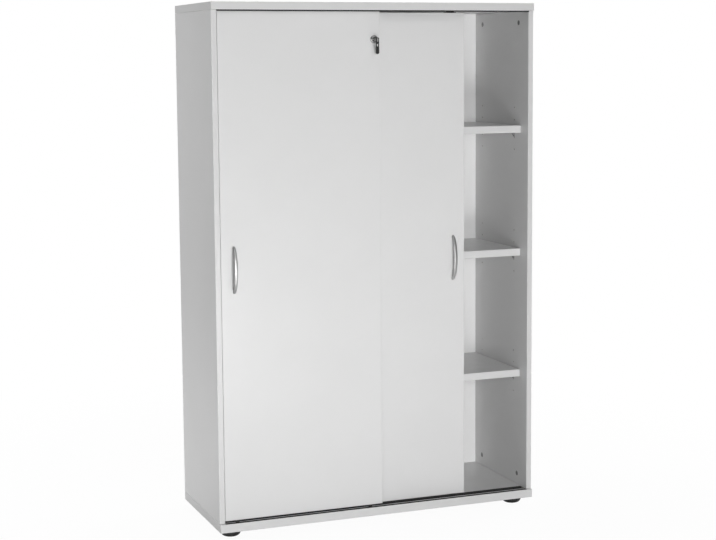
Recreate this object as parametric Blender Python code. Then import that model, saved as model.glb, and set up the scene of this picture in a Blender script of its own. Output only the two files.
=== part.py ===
"""A filing cupboard with two sliding doors and three shelves, at rest with its front door closed and its
rear door drawn part of the way behind it. Metres, +Z up, the front faces -Y. The origin is on the floor,
under the middle of the whole object's box, key and handles included."""

import math

import bmesh
import bpy
from mathutils import Vector

# Fits
SEAT_GAP = 0.0003  # between pieces that stand, rest or hang on each other
RUNNING_GAP = 0.00008  # between a shaft and its bore, all round
OVERRUN = 0.002  # how far a cutter stands past the surface that it opens

# Carcass boards
CABINET_WIDTH = 1.000
CABINET_HEIGHT = 1.534
CARCASS_DEPTH = 0.392  # the base's front edge to the boards' rear edges
SIDE_THICKNESS = 0.016
TOP_THICKNESS = 0.022
BASE_THICKNESS = 0.025
BACK_THICKNESS = 0.008
BASE_LIP = 0.008  # the base's front edge in front of the sides'
TOP_LIP = 0.005
BACK_INSET = 0.010  # the back panel's rear face in front of the boards' rear edges
BACK_TONGUE = 0.0057  # how far the back panel reaches into its grooves
EDGE_BEVEL = 0.0008

# Shelves, their supports and the rows of holes
SHELF_THICKNESS = 0.022
SHELF_PITCH = 0.3765
MIDDLE_SHELF_TOP = 0.792
SHELF_SETBACK = 0.047  # the shelves' front edges behind the sides'
SHELF_SIDE_GAP = 0.0008
SHELF_BACK_GAP = 0.001
FRONT_ROW = 0.091  # the front rows behind the sides' front edges
REAR_ROW_DISTANCE = 0.068  # the rear rows in front of the sides' rear edges
ROW_HOLE_RADIUS = 0.0025
ROW_HOLE_DEPTH = 0.010
ROW_HOLE_RISES = (-0.064, -0.027, 0.027, 0.064)  # from the middle of each shelf's thickness
SUPPORT_PIN_RADIUS = 0.0021
SUPPORT_PIN_LENGTH = 0.008
SUPPORT_LEDGE = 0.009
SUPPORT_PLATE = 0.0018
SUPPORT_HEIGHT = 0.013
SUPPORT_WIDTH = 0.009
SUPPORT_PIN_DROP = 0.008  # the pin's axis under the ledge's top

# Connecting cams
CAM_RADIUS = 0.0072
CAM_DEPTH = 0.0122
CAM_POCKET_RADIUS = 0.0077
CAM_POCKET_DEPTH = 0.0128
CAM_END_DISTANCE = 0.034  # from the sides' ends
CAM_FRONT_ROW = 0.066
CAM_SLOT_WIDTH = 0.0016
CAM_SLOT_LENGTH = 0.0084
CAM_SLOT_DEPTH = 0.0025
CAM_CHAMFER = 0.0005

# Feet
FOOT_HEIGHT = 0.023
FOOT_INSET = 0.045  # a foot's axis in from the sides' faces and edges
FOOT_RADIUS = 0.029
FOOT_SOLE_RADIUS = 0.015
FOOT_SKIRT = 0.012  # height at which the sole's curve reaches the full radius
FOOT_SOLE_RINGS = 4

# Doors
DOOR_THICKNESS = 0.016
DOOR_OVERLAP = 0.012  # of the two closed doors
DOOR_TOP_GAP = 0.0038  # the front door's upper edge under the top panel
DOOR_PITCH = 0.021  # from one door's plane to the other's
DOOR_END_GAP = 0.002  # a closed door's edge to the side panel
FRONT_DOOR_INSET = 0.0045  # the front door's face behind the sides' front edges
FRONT_DOOR_RISE = 0.0063  # the doors' lower edges over the base
REAR_DOOR_RISE = 0.0041
REAR_DOOR_OPEN = 0.198  # how far the rear door is drawn from its closed place

# Tracks
TRACK_WALL = 0.0014
TRACK_SOLE = 0.0014
BOTTOM_TRACK_DEPTH = 0.008
BOTTOM_TRACK_EDGE = 0.0014  # board left in front of the bottom track
TRACK_REAR_MARGIN = 0.0055  # the bottom track's rear edge behind the rear door's plane
RIB_WIDTH = 0.002
RIB_DROP = 0.0008  # the running ribs' tops under the base's top
TOP_TRACK_DEPTH = 0.007
TOP_TRACK_EDGE = 0.0013
TOP_TRACK_LIP = 0.004  # the lip's lower edge under the top panel
TOP_TRACK_LIP_WIDTH = 0.0018
TOP_TRACK_REAR_MARGIN = 0.0085
GUIDE_GROOVE_WIDTH = 0.006

# Bottom rollers
ROLLER_EDGE_DISTANCE = 0.038  # a roller's axis from the door's upright edge
WHEEL_RIM_RADIUS = 0.0115
WHEEL_TREAD_RADIUS = 0.0095
WHEEL_WEB_RADIUS = 0.0078
WHEEL_HUB_RADIUS = 0.0042
WHEEL_WIDTH = 0.006
WHEEL_WEB = 0.003
WHEEL_TREAD_WIDTH = 0.0024
WHEEL_FLANGE = 0.0006
WHEEL_STEPS = 18
AXLE_RADIUS = 0.0015
HOUSING_LENGTH = 0.030
HOUSING_WIDTH = 0.010
HOUSING_ABOVE_AXLE = 0.0218
HOUSING_BELOW_AXLE = 0.0045
HOUSING_CORNER = 0.006
HOUSING_SLOT_WIDTH = 0.0068
HOUSING_SLOT_LENGTH = 0.0246
HOUSING_SLOT_RISE = 0.0125

# Top guides
GUIDE_EDGE_DISTANCE = 0.043
GUIDE_CAP_LENGTH = 0.036
GUIDE_CAP_WIDTH = 0.011
GUIDE_CAP_THICKNESS = 0.0016
GUIDE_BODY_LENGTH = 0.020
GUIDE_BODY_WIDTH = 0.008
GUIDE_BODY_DEPTH = 0.014
GUIDE_TONGUE_LENGTH = 0.024
GUIDE_TONGUE_WIDTH = 0.005
GUIDE_TONGUE_RISE = 0.0042  # the tongue's top over the top panel's lower face
GUIDE_TONGUE_CORNER = 0.0018

# Handles
HANDLE_EDGE_DISTANCE = 0.038
HANDLE_LENGTH = 0.136
HANDLE_RISE = 0.0255
HANDLE_FOOT_LENGTH = 0.009
HANDLE_THICKNESS = 0.0045
HANDLE_END_WIDTH = 0.0074
HANDLE_MIDDLE_WIDTH = 0.0105
HANDLE_ARCH_SHARE = 1.16  # how square the arch is: 1 is an ellipse, more is flatter legs
HANDLE_SECTIONS = 18
SECTION_POINTS = 12
SECTION_ROUND_SHARE = 0.72  # 1 is an ellipse, less is squarer
SCREW_SPACING = 0.128
SCREW_RADIUS = 0.00175
SCREW_BITE = 0.0033  # how deep the screw's end lies in the handle's foot
SCREW_HEAD_RADIUS = 0.0038
SCREW_HEAD_HEIGHT = 0.0026
SCREW_SINK = 0.0032  # depth of the counterbore in the door's rear face
SCREW_DRIVE_RADIUS = 0.0013
SCREW_DRIVE_DEPTH = 0.0012

# Lock and key
LOCK_EDGE_DISTANCE = 0.018  # from the front door's right edge
LOCK_TOP_DISTANCE = 0.080
ROSETTE_RADIUS = 0.012
ROSETTE_THICKNESS = 0.0023
ROSETTE_SLOPE = 0.0008
COLLAR_RADIUS = 0.0095
COLLAR_REACH = 0.010
COLLAR_CHAMFER = 0.0006
BARREL_RADIUS = 0.009
LOCK_STEPS = 24
PLUG_RADIUS = 0.006
PLUG_PROUD = 0.0004
KEYWAY_DEPTH = 0.0205
KEY_THICKNESS = 0.002
KEY_BLADE_HEIGHT = 0.008
KEY_BLADE_LENGTH = 0.018
KEY_CUTS = 4
KEY_CUT_DEPTH = 0.0022
KEY_SHOULDER_HEIGHT = 0.011
KEY_SHOULDER_LENGTH = 0.0025
KEY_NECK_THICKNESS = 0.0032
KEY_PIVOT_REACH = 0.0252  # the fold pin's axis in front of the door
KEY_PIVOT_DROP = 0.0015  # the fold pin's axis under the lock's
KEY_LUG_RADIUS = 0.0048
FOLD_PIN_RADIUS = 0.00125
FOLD_STEPS = 12
BOW_WIDTH = 0.009
BOW_END_WIDTH = 0.0104
BOW_THICKNESS = 0.0045
BOW_ABOVE_PIN = 0.0068
BOW_BELOW_PIN = 0.0405
BOW_MOUTH_WIDTH = 0.0038
BOW_MOUTH_DEPTH = 0.006
BOW_EYE_WIDTH = 0.0046
BOW_EYE_TOP = 0.0115
BOW_EYE_BOTTOM = 0.0188
TAIL_SIDE = 0.005
LEVER_THICKNESS = 0.0025
LEVER_CLEARANCE = 0.0007  # the lever behind the front door's rear face
LEVER_LENGTH = 0.040
LEVER_HUB_RADIUS = 0.007
LEVER_TIP_RADIUS = 0.004
TAIL_END = 0.0004
STRIKE_PLATE_WIDTH = 0.012
STRIKE_PLATE_HEIGHT = 0.044
STRIKE_PLATE_THICKNESS = 0.0012
STRIKE_RISE = 0.025  # the strike's middle over the lock's axis
STRIKE_LIP_HEIGHT = 0.018
STRIKE_LIP_THICKNESS = 0.0025
STRIKE_LIP_REACH = 0.0039
STRIKE_EDGE_DISTANCE = 0.0006
STRIKE_HOLE_RADIUS = 0.0017
STRIKE_HOLE_SPACING = 0.032

# Places that follow from the dimensions
SIDE_DEPTH = CARCASS_DEPTH - BASE_LIP
KEY_REACH = KEY_PIVOT_REACH + KEY_LUG_RADIUS
REAR_Y = (SIDE_DEPTH - FRONT_DOOR_INSET + KEY_REACH) / 2
SIDE_FRONT_Y = REAR_Y - SIDE_DEPTH
SIDE_X = CABINET_WIDTH / 2
INNER_X = SIDE_X - SIDE_THICKNESS
BASE_TOP_Z = FOOT_HEIGHT + BASE_THICKNESS
TOP_UNDER_Z = CABINET_HEIGHT - TOP_THICKNESS
REAR_ROW = SIDE_DEPTH - REAR_ROW_DISTANCE
DOOR_WIDTH = INNER_X + DOOR_OVERLAP / 2 - DOOR_END_GAP
FRONT_DOOR_BOTTOM = BASE_TOP_Z + FRONT_DOOR_RISE
REAR_DOOR_BOTTOM = BASE_TOP_Z + REAR_DOOR_RISE
DOOR_HEIGHT = TOP_UNDER_Z - DOOR_TOP_GAP - FRONT_DOOR_BOTTOM
BACK_REAR_Y = REAR_Y - BACK_INSET
BACK_FRONT_Y = BACK_REAR_Y - BACK_THICKNESS
FRONT_PLANE_Y = SIDE_FRONT_Y + FRONT_DOOR_INSET + DOOR_THICKNESS / 2
REAR_PLANE_Y = FRONT_PLANE_Y + DOOR_PITCH
FRONT_DOOR_X = DOOR_END_GAP + DOOR_WIDTH / 2 - INNER_X
REAR_DOOR_X = INNER_X - DOOR_END_GAP - DOOR_WIDTH / 2 - REAR_DOOR_OPEN
WHEEL_AXLE_Z = BASE_TOP_Z - RIB_DROP + SEAT_GAP + WHEEL_TREAD_RADIUS
LOCK_X = DOOR_WIDTH / 2 - LOCK_EDGE_DISTANCE  # in the front door's own frame
LOCK_Z = DOOR_HEIGHT - LOCK_TOP_DISTANCE
DOOR_FACE = -DOOR_THICKNESS / 2
AXES = {"X": Vector((1, 0, 0)), "Y": Vector((0, 1, 0)), "Z": Vector((0, 0, 1))}


def material(name, colour, roughness, metallic):
    made = bpy.data.materials.new(name)
    made.use_nodes = True
    shader = made.node_tree.nodes["Principled BSDF"]
    shader.inputs["Base Color"].default_value = (*colour, 1)
    shader.inputs["Roughness"].default_value = roughness
    shader.inputs["Metallic"].default_value = metallic
    return made


def empty(name, at, parent=None):
    made = bpy.data.objects.new(name, None)
    made.location = at
    made.parent = parent
    bpy.context.scene.collection.objects.link(made)
    return made


def piece(name, shape, look, at=(0, 0, 0), parent=None, smooth=False):
    """The shape as an object of its own, standing at a place in its parent's frame."""
    mesh = bpy.data.meshes.new(name)
    shape.to_mesh(mesh)
    shape.free()
    made = bpy.data.objects.new(name, mesh)
    bpy.context.scene.collection.objects.link(made)
    made.location = at
    made.parent = parent
    if look:
        mesh.materials.append(look)
    if smooth:
        mesh.shade_smooth()
        mesh.set_sharp_from_angle(angle=math.radians(35))
    return made


def combine(target, shape, operation):
    """Cuts the shape from the piece, or joins it on. The shape is drawn in the piece's own frame."""
    tool = piece(f"{target.name}_{operation.lower()}", shape, None, target.location, target.parent)
    tool.hide_render = True
    tool.display_type = "WIRE"
    step = target.modifiers.new(operation.title(), "BOOLEAN")
    step.operation = operation
    step.solver = "EXACT"
    step.object = tool


def bevel(target, width=EDGE_BEVEL, segments=1):
    step = target.modifiers.new("Edges", "BEVEL")
    step.width = width
    step.segments = segments
    step.limit_method = "ANGLE"


def rectangle(u0, u1, v0, v1):
    return [(u0, v0), (u1, v0), (u1, v1), (u0, v1)]


def ring(radius, steps, u=0, v=0):
    turns = [2 * math.pi * (k + 0.5) / steps for k in range(steps)]
    return [(u + radius * math.cos(a), v + radius * math.sin(a)) for a in turns]


def bore(radius, steps, u=0, v=0):
    """A ring whose flats, and not its corners, lie at the radius."""
    return ring(radius / math.cos(math.pi / steps), steps, u, v)


def capsule(u0, r0, u1, r1, steps):
    """The outline round two circles on one line, as on a lever: the first at u0, the second at u1."""
    lean = math.asin((r0 - r1) / abs(u1 - u0))
    side = 1 if u1 > u0 else -1
    half = math.pi / 2 - lean
    outline = []
    for k in range(steps + 1):
        turn = half - 2 * half * k / steps
        outline.append((u1 + side * r1 * math.cos(turn), r1 * math.sin(turn)))
    for k in range(steps + 1):
        turn = half + (2 * math.pi - 2 * half) * k / steps
        outline.append((u0 + side * r0 * math.cos(turn), -r0 * math.sin(turn)))
    return outline


def prism(outline, axis, start, end):
    """A closed prism: an outline in the plane square to the axis, extruded from start to end."""
    shape = bmesh.new()
    corners = {
        "X": [(start, u, v) for u, v in outline],
        "Y": [(u, start, v) for u, v in outline],
        "Z": [(u, v, start) for u, v in outline],
    }[axis]
    face = shape.faces.new([shape.verts.new(corner) for corner in corners])
    drawn = bmesh.ops.extrude_face_region(shape, geom=[face], use_keep_orig=True)
    moved = [item for item in drawn["geom"] if isinstance(item, bmesh.types.BMVert)]
    bmesh.ops.translate(shape, verts=moved, vec=AXES[axis] * (end - start))
    bmesh.ops.recalc_face_normals(shape, faces=shape.faces)
    return shape


def turned(profile, axis, steps, closed=False):
    """A body of revolution about the axis: profile points are (distance from the axis, place along it)."""
    shape = bmesh.new()
    along = AXES[axis]
    out = AXES["X"] if axis != "X" else AXES["Y"]
    verts = [shape.verts.new(out * radius + along * place) for radius, place in profile]
    pairs = list(zip(verts, verts[1:]))
    if closed:
        pairs.append((verts[-1], verts[0]))
    edges = [shape.edges.new(pair) for pair in pairs]
    bmesh.ops.spin(shape, geom=verts + edges, cent=(0, 0, 0), axis=along, angle=2 * math.pi, steps=steps)
    bmesh.ops.remove_doubles(shape, verts=shape.verts, dist=1e-7)
    bmesh.ops.recalc_face_normals(shape, faces=shape.faces)
    return shape


def lofted(sections):
    """A closed skin through rings of points, one after the other, with both ends filled."""
    shape = bmesh.new()
    rings = [[shape.verts.new(point) for point in section] for section in sections]
    for first, second in zip(rings, rings[1:]):
        for k in range(len(first)):
            shape.faces.new((first[k - 1], first[k], second[k], second[k - 1]))
    shape.faces.new(rings[0])
    shape.faces.new(rings[-1])
    bmesh.ops.recalc_face_normals(shape, faces=shape.faces)
    return shape


def gathered(shapes):
    """Several closed shapes that don't touch, as one cutter."""
    whole = bmesh.new()
    for shape in shapes:
        loose = bpy.data.meshes.new("loose")
        shape.to_mesh(loose)
        shape.free()
        whole.from_mesh(loose)
        bpy.data.meshes.remove(loose)
    return whole


def board(name, x0, x1, y0, y1, z0, z1, look, at=(0, 0, 0), parent=None):
    made = piece(name, prism(rectangle(x0, x1, y0, y1), "Z", z0, z1), look, at, parent)
    bevel(made)
    return made


def back_groove_y():
    return BACK_FRONT_Y - SEAT_GAP, BACK_REAR_Y + SEAT_GAP


def comb(start, end, sole, depth, teeth):
    """An extrusion's profile: a sole from start to end, with teeth (from, to, height) on it."""
    outline = [(start, 0), (end, 0)]
    top = sole
    for first, last, height in sorted(teeth, reverse=True):
        outline += [(last, top), (last, height), (first, height), (first, top)]
    outline = [point for k, point in enumerate(outline) if k == 0 or point != outline[k - 1]]
    return [(u, v if depth > 0 else -v) for u, v in outline]


def side_panel(name, hand, look):
    """A side board with its back groove, its rows of support holes and its four cam pockets."""
    inner = hand * INNER_X
    outer = hand * SIDE_X
    made = board(
        name,
        min(inner, outer),
        max(inner, outer),
        SIDE_FRONT_Y,
        REAR_Y,
        BASE_TOP_Z + SEAT_GAP,
        TOP_UNDER_Z - SEAT_GAP,
        look,
    )
    opened = inner - hand * OVERRUN
    groove_end = inner + hand * (BACK_TONGUE + SEAT_GAP)
    groove = rectangle(*sorted((opened, groove_end)), *back_groove_y())
    cuts = [prism(groove, "Z", BASE_TOP_Z - OVERRUN, TOP_UNDER_Z + OVERRUN)]
    hole_end = inner + hand * ROW_HOLE_DEPTH
    for row in (FRONT_ROW, REAR_ROW):
        y = SIDE_FRONT_Y + row
        for top in SHELF_TOPS:
            middle = top - SHELF_THICKNESS / 2
            heights = [middle + rise for rise in ROW_HOLE_RISES]
            heights.append(top - SHELF_THICKNESS - SEAT_GAP - SUPPORT_PIN_DROP)
            cuts += [prism(ring(ROW_HOLE_RADIUS, 8, y, z), "X", opened, hole_end) for z in heights]
    pocket_end = inner + hand * CAM_POCKET_DEPTH
    cuts += [prism(bore(CAM_POCKET_RADIUS, 16, y, z), "X", opened, pocket_end) for y, z in cam_places()]
    combine(made, gathered(cuts), "DIFFERENCE")
    return made


def cam_places():
    rows = (SIDE_FRONT_Y + CAM_FRONT_ROW, SIDE_FRONT_Y + REAR_ROW)
    heights = (BASE_TOP_Z + CAM_END_DISTANCE, TOP_UNDER_Z - CAM_END_DISTANCE)
    return [(y, z) for y in rows for z in heights]


def cam(name, hand, y, z, look):
    """A connecting cam, its face just under the side's inner face, with a cross recess."""
    profile = [
        (0, 0),
        (CAM_RADIUS - CAM_CHAMFER, 0),
        (CAM_RADIUS, CAM_CHAMFER),
        (CAM_RADIUS, CAM_DEPTH),
        (0, CAM_DEPTH),
    ]
    profile = [(radius, hand * place) for radius, place in profile]
    at = (hand * (INNER_X + SEAT_GAP), y, z)
    made = piece(name, turned(profile, "X", 16), look, at, smooth=True)
    half, length = CAM_SLOT_WIDTH / 2, CAM_SLOT_LENGTH / 2
    cross = [
        (half, half), (length, half), (length, -half), (half, -half), (half, -length), (-half, -length),
        (-half, -half), (-length, -half), (-length, half), (-half, half), (-half, length), (half, length),
    ]
    combine(made, prism(cross, "X", -hand * OVERRUN, hand * CAM_SLOT_DEPTH), "DIFFERENCE")


def shelf_support(name, hand, y, shelf_top, look):
    """A support under a shelf: a pin in the side's row of holes, a plate on the side and a braced ledge."""
    at = (hand * (INNER_X - SEAT_GAP), y, shelf_top - SHELF_THICKNESS - SEAT_GAP)
    plate, ledge, height = hand * -SUPPORT_PLATE, hand * -SUPPORT_LEDGE, -SUPPORT_HEIGHT
    outline = [
        (0, 0),
        (ledge, 0),
        (ledge, -SUPPORT_PLATE),
        (plate, height + SUPPORT_PLATE),
        (plate, height),
        (0, height),
    ]
    made = piece(name, prism(outline, "Y", -SUPPORT_WIDTH / 2, SUPPORT_WIDTH / 2), look, at)
    pin = ring(SUPPORT_PIN_RADIUS, 8, 0, -SUPPORT_PIN_DROP)
    combine(made, prism(pin, "X", plate / 2, hand * (SUPPORT_PIN_LENGTH + SEAT_GAP)), "UNION")


def foot(name, x, y, look):
    """A glide foot: a flat sole that curves up to a straight skirt."""
    profile = [(0, 0)]
    for k in range(FOOT_SOLE_RINGS + 1):
        turn = math.pi / 2 * k / FOOT_SOLE_RINGS
        radius = FOOT_SOLE_RADIUS + (FOOT_RADIUS - FOOT_SOLE_RADIUS) * math.sin(turn)
        profile.append((radius, FOOT_SKIRT * (1 - math.cos(turn))))
    top = FOOT_HEIGHT - SEAT_GAP
    profile += [(FOOT_RADIUS, top), (0, top)]
    piece(name, turned(profile, "Z", 24), look, (x, y, 0), smooth=True)


def roller(name, x, door, bottom, plastic, nylon):
    """A roller let into a door's lower edge: an open housing with its axle, and a grooved wheel on it."""
    axle = (x, 0, WHEEL_AXLE_Z - bottom)
    half = HOUSING_LENGTH / 2
    corner = HOUSING_CORNER
    outline = [
        (-half, -HOUSING_BELOW_AXLE),
        (half, -HOUSING_BELOW_AXLE),
        (half, HOUSING_ABOVE_AXLE - corner),
        (half - corner, HOUSING_ABOVE_AXLE),
        (corner - half, HOUSING_ABOVE_AXLE),
        (-half, HOUSING_ABOVE_AXLE - corner),
    ]
    block = prism(outline, "Y", -HOUSING_WIDTH / 2, HOUSING_WIDTH / 2)
    housing = piece(f"roller_housing_{name}", block, plastic, axle, door)
    slot_half = HOUSING_SLOT_LENGTH / 2
    slot = rectangle(-slot_half, slot_half, -HOUSING_BELOW_AXLE - OVERRUN, HOUSING_SLOT_RISE)
    combine(housing, prism(slot, "Y", -HOUSING_SLOT_WIDTH / 2, HOUSING_SLOT_WIDTH / 2), "DIFFERENCE")
    pin_end = HOUSING_WIDTH / 2 - SEAT_GAP
    combine(housing, prism(ring(AXLE_RADIUS, 12), "Y", -pin_end, pin_end), "UNION")
    rim, web, tread = WHEEL_WIDTH / 2, WHEEL_WEB / 2, WHEEL_TREAD_WIDTH / 2
    bore_radius = (AXLE_RADIUS + RUNNING_GAP) / math.cos(math.pi / WHEEL_STEPS)
    one_side = [
        (WHEEL_TREAD_RADIUS, tread),
        (WHEEL_RIM_RADIUS, rim - WHEEL_FLANGE),
        (WHEEL_RIM_RADIUS, rim),
        (WHEEL_WEB_RADIUS, rim),
        (WHEEL_WEB_RADIUS, web),
        (WHEEL_HUB_RADIUS, web),
        (WHEEL_HUB_RADIUS, rim),
        (bore_radius, rim),
    ]
    profile = one_side + [(radius, -place) for radius, place in reversed(one_side)]
    wheel = turned(profile, "Y", WHEEL_STEPS, closed=True)
    piece(f"roller_wheel_{name}", wheel, nylon, axle, door, smooth=True)


def roller_pocket(x, bottom):
    """The pocket for a roller's housing, in the door's frame."""
    half = HOUSING_LENGTH / 2 + SEAT_GAP
    wide = HOUSING_WIDTH / 2 + SEAT_GAP
    top = WHEEL_AXLE_Z - bottom + HOUSING_ABOVE_AXLE + SEAT_GAP
    return prism(rectangle(x - half, x + half, -OVERRUN, top), "Y", -wide, wide)


def guide_pocket(x):
    half = GUIDE_BODY_LENGTH / 2 + SEAT_GAP
    wide = GUIDE_BODY_WIDTH / 2 + SEAT_GAP
    low = DOOR_HEIGHT - GUIDE_BODY_DEPTH - SEAT_GAP
    return prism(rectangle(x - half, x + half, low, DOOR_HEIGHT + OVERRUN), "Y", -wide, wide)


def top_guide(name, x, door, bottom, plastic):
    """A guide on a door's upper edge: a body in the door, a cap and a tongue in the track's groove."""
    at = (x, 0, DOOR_HEIGHT)
    cap_top = SEAT_GAP + GUIDE_CAP_THICKNESS
    half = GUIDE_CAP_LENGTH / 2
    cap = prism(rectangle(-half, half, SEAT_GAP, cap_top), "Y", -GUIDE_CAP_WIDTH / 2, GUIDE_CAP_WIDTH / 2)
    made = piece(f"top_guide_{name}", cap, plastic, at, door)
    half = GUIDE_BODY_LENGTH / 2
    body = rectangle(-half, half, -GUIDE_BODY_DEPTH, SEAT_GAP + GUIDE_CAP_THICKNESS / 2)
    combine(made, prism(body, "Y", -GUIDE_BODY_WIDTH / 2, GUIDE_BODY_WIDTH / 2), "UNION")
    top = TOP_UNDER_Z + GUIDE_TONGUE_RISE - bottom - DOOR_HEIGHT
    half, corner, low = GUIDE_TONGUE_LENGTH / 2, GUIDE_TONGUE_CORNER, SEAT_GAP + GUIDE_CAP_THICKNESS / 2
    tongue = [
        (-half, low),
        (half, low),
        (half, top - corner),
        (half - corner, top),
        (corner - half, top),
        (-half, top - corner),
    ]
    combine(made, prism(tongue, "Y", -GUIDE_TONGUE_WIDTH / 2, GUIDE_TONGUE_WIDTH / 2), "UNION")


def arch(share, half_length, rise):
    """A point on the handle's arch, at a share of the way round from its lower foot to its upper one."""
    turn = math.pi * (share - 0.5)
    return half_length * math.sin(turn), -rise * max(math.cos(turn), 0) ** HANDLE_ARCH_SHARE


def handle(name, x, door, look, steel):
    """A bow handle, lofted between two arches, with the two screws that hold it from behind."""
    at = (x, DOOR_FACE - SEAT_GAP, DOOR_HEIGHT / 2)
    rise = HANDLE_RISE - SEAT_GAP
    swell = HANDLE_MIDDLE_WIDTH - HANDLE_END_WIDTH
    sections = []
    for k in range(HANDLE_SECTIONS + 1):
        share = k / HANDLE_SECTIONS
        outer_z, outer_y = arch(share, HANDLE_LENGTH / 2, rise)
        inner_z, inner_y = arch(share, HANDLE_LENGTH / 2 - HANDLE_FOOT_LENGTH, rise - HANDLE_THICKNESS)
        middle = Vector((0, (outer_y + inner_y) / 2, (outer_z + inner_z) / 2))
        deep = Vector((0, (outer_y - inner_y) / 2, (outer_z - inner_z) / 2))
        wide = AXES["X"] * (HANDLE_END_WIDTH + swell * math.sin(math.pi * share)) / 2
        section = []
        for u, v in ring(1, SECTION_POINTS):
            across = math.copysign(abs(u) ** SECTION_ROUND_SHARE, u)
            depth = math.copysign(abs(v) ** SECTION_ROUND_SHARE, v)
            section.append(middle + wide * across + deep * depth)
        sections.append(section)
    made = piece(f"handle_{name}", lofted(sections), look, at, door, smooth=True)
    hole = SCREW_RADIUS + SEAT_GAP
    places = (-SCREW_SPACING / 2, SCREW_SPACING / 2)
    bites = [prism(bore(hole, 8, 0, z), "Y", OVERRUN, -SCREW_BITE - SEAT_GAP) for z in places]
    combine(made, gathered(bites), "DIFFERENCE")
    head_y = DOOR_THICKNESS / 2 - SCREW_SINK + SEAT_GAP
    for word, z in zip(("lower", "upper"), places):
        profile = [
            (0, DOOR_FACE - SCREW_BITE - head_y),
            (SCREW_RADIUS, DOOR_FACE - SCREW_BITE - head_y),
            (SCREW_RADIUS, 0),
            (SCREW_HEAD_RADIUS, 0),
            (SCREW_HEAD_RADIUS, SCREW_HEAD_HEIGHT),
            (0, SCREW_HEAD_HEIGHT),
        ]
        seat = (x, head_y, DOOR_HEIGHT / 2 + z)
        shape = turned(profile, "Y", 12)
        screw = piece(f"handle_screw_{name}_{word}", shape, steel, seat, door, smooth=True)
        drive_floor = SCREW_HEAD_HEIGHT - SCREW_DRIVE_DEPTH
        drive = prism(ring(SCREW_DRIVE_RADIUS, 4), "Y", drive_floor, SCREW_HEAD_HEIGHT + OVERRUN)
        combine(screw, drive, "DIFFERENCE")


def handle_holes(x):
    """The handle screws' holes through the door, each with a counterbore in the rear face."""
    rear = DOOR_THICKNESS / 2
    cuts = []
    for z in (DOOR_HEIGHT / 2 - SCREW_SPACING / 2, DOOR_HEIGHT / 2 + SCREW_SPACING / 2):
        shank = (SCREW_RADIUS + SEAT_GAP) / math.cos(math.pi / 12)
        head = (SCREW_HEAD_RADIUS + SEAT_GAP) / math.cos(math.pi / 12)
        profile = [
            (0, DOOR_FACE - OVERRUN),
            (shank, DOOR_FACE - OVERRUN),
            (shank, rear - SCREW_SINK),
            (head, rear - SCREW_SINK),
            (head, rear + OVERRUN),
            (0, rear + OVERRUN),
        ]
        hole = turned(profile, "Y", 12)
        bmesh.ops.translate(hole, verts=hole.verts, vec=(x, 0, z))
        cuts.append(hole)
    return cuts


def door(name, at, look, other_cuts, bottom, handle_x):
    """A door board on an empty that slides, with pockets for its rollers and guides, and its holes."""
    carrier = empty(f"{name}_slide", at)
    half = DOOR_WIDTH / 2
    made = board(name, -half, half, DOOR_FACE, -DOOR_FACE, 0, DOOR_HEIGHT, look, (0, 0, 0), carrier)
    roller_x, guide_x = half - ROLLER_EDGE_DISTANCE, half - GUIDE_EDGE_DISTANCE
    cuts = [roller_pocket(x, bottom) for x in (-roller_x, roller_x)]
    cuts += [guide_pocket(x) for x in (-guide_x, guide_x)]
    combine(made, gathered(cuts + handle_holes(handle_x) + other_cuts), "DIFFERENCE")
    return carrier


def lock_hole():
    barrel = bore(BARREL_RADIUS + SEAT_GAP, LOCK_STEPS, LOCK_X, LOCK_Z)
    return prism(barrel, "Y", DOOR_FACE - OVERRUN, OVERRUN - DOOR_FACE)


def strike_z():
    """The strike's middle, in the rear door's frame."""
    return FRONT_DOOR_BOTTOM + LOCK_Z + STRIKE_RISE - REAR_DOOR_BOTTOM


def strike_recess():
    left = STRIKE_EDGE_DISTANCE - DOOR_WIDTH / 2
    half = STRIKE_PLATE_HEIGHT / 2 + SEAT_GAP
    right = left + STRIKE_PLATE_WIDTH
    outline = rectangle(left - SEAT_GAP, right + SEAT_GAP, strike_z() - half, strike_z() + half)
    return prism(outline, "Y", DOOR_FACE - OVERRUN, DOOR_FACE + STRIKE_PLATE_THICKNESS + SEAT_GAP)


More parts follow.
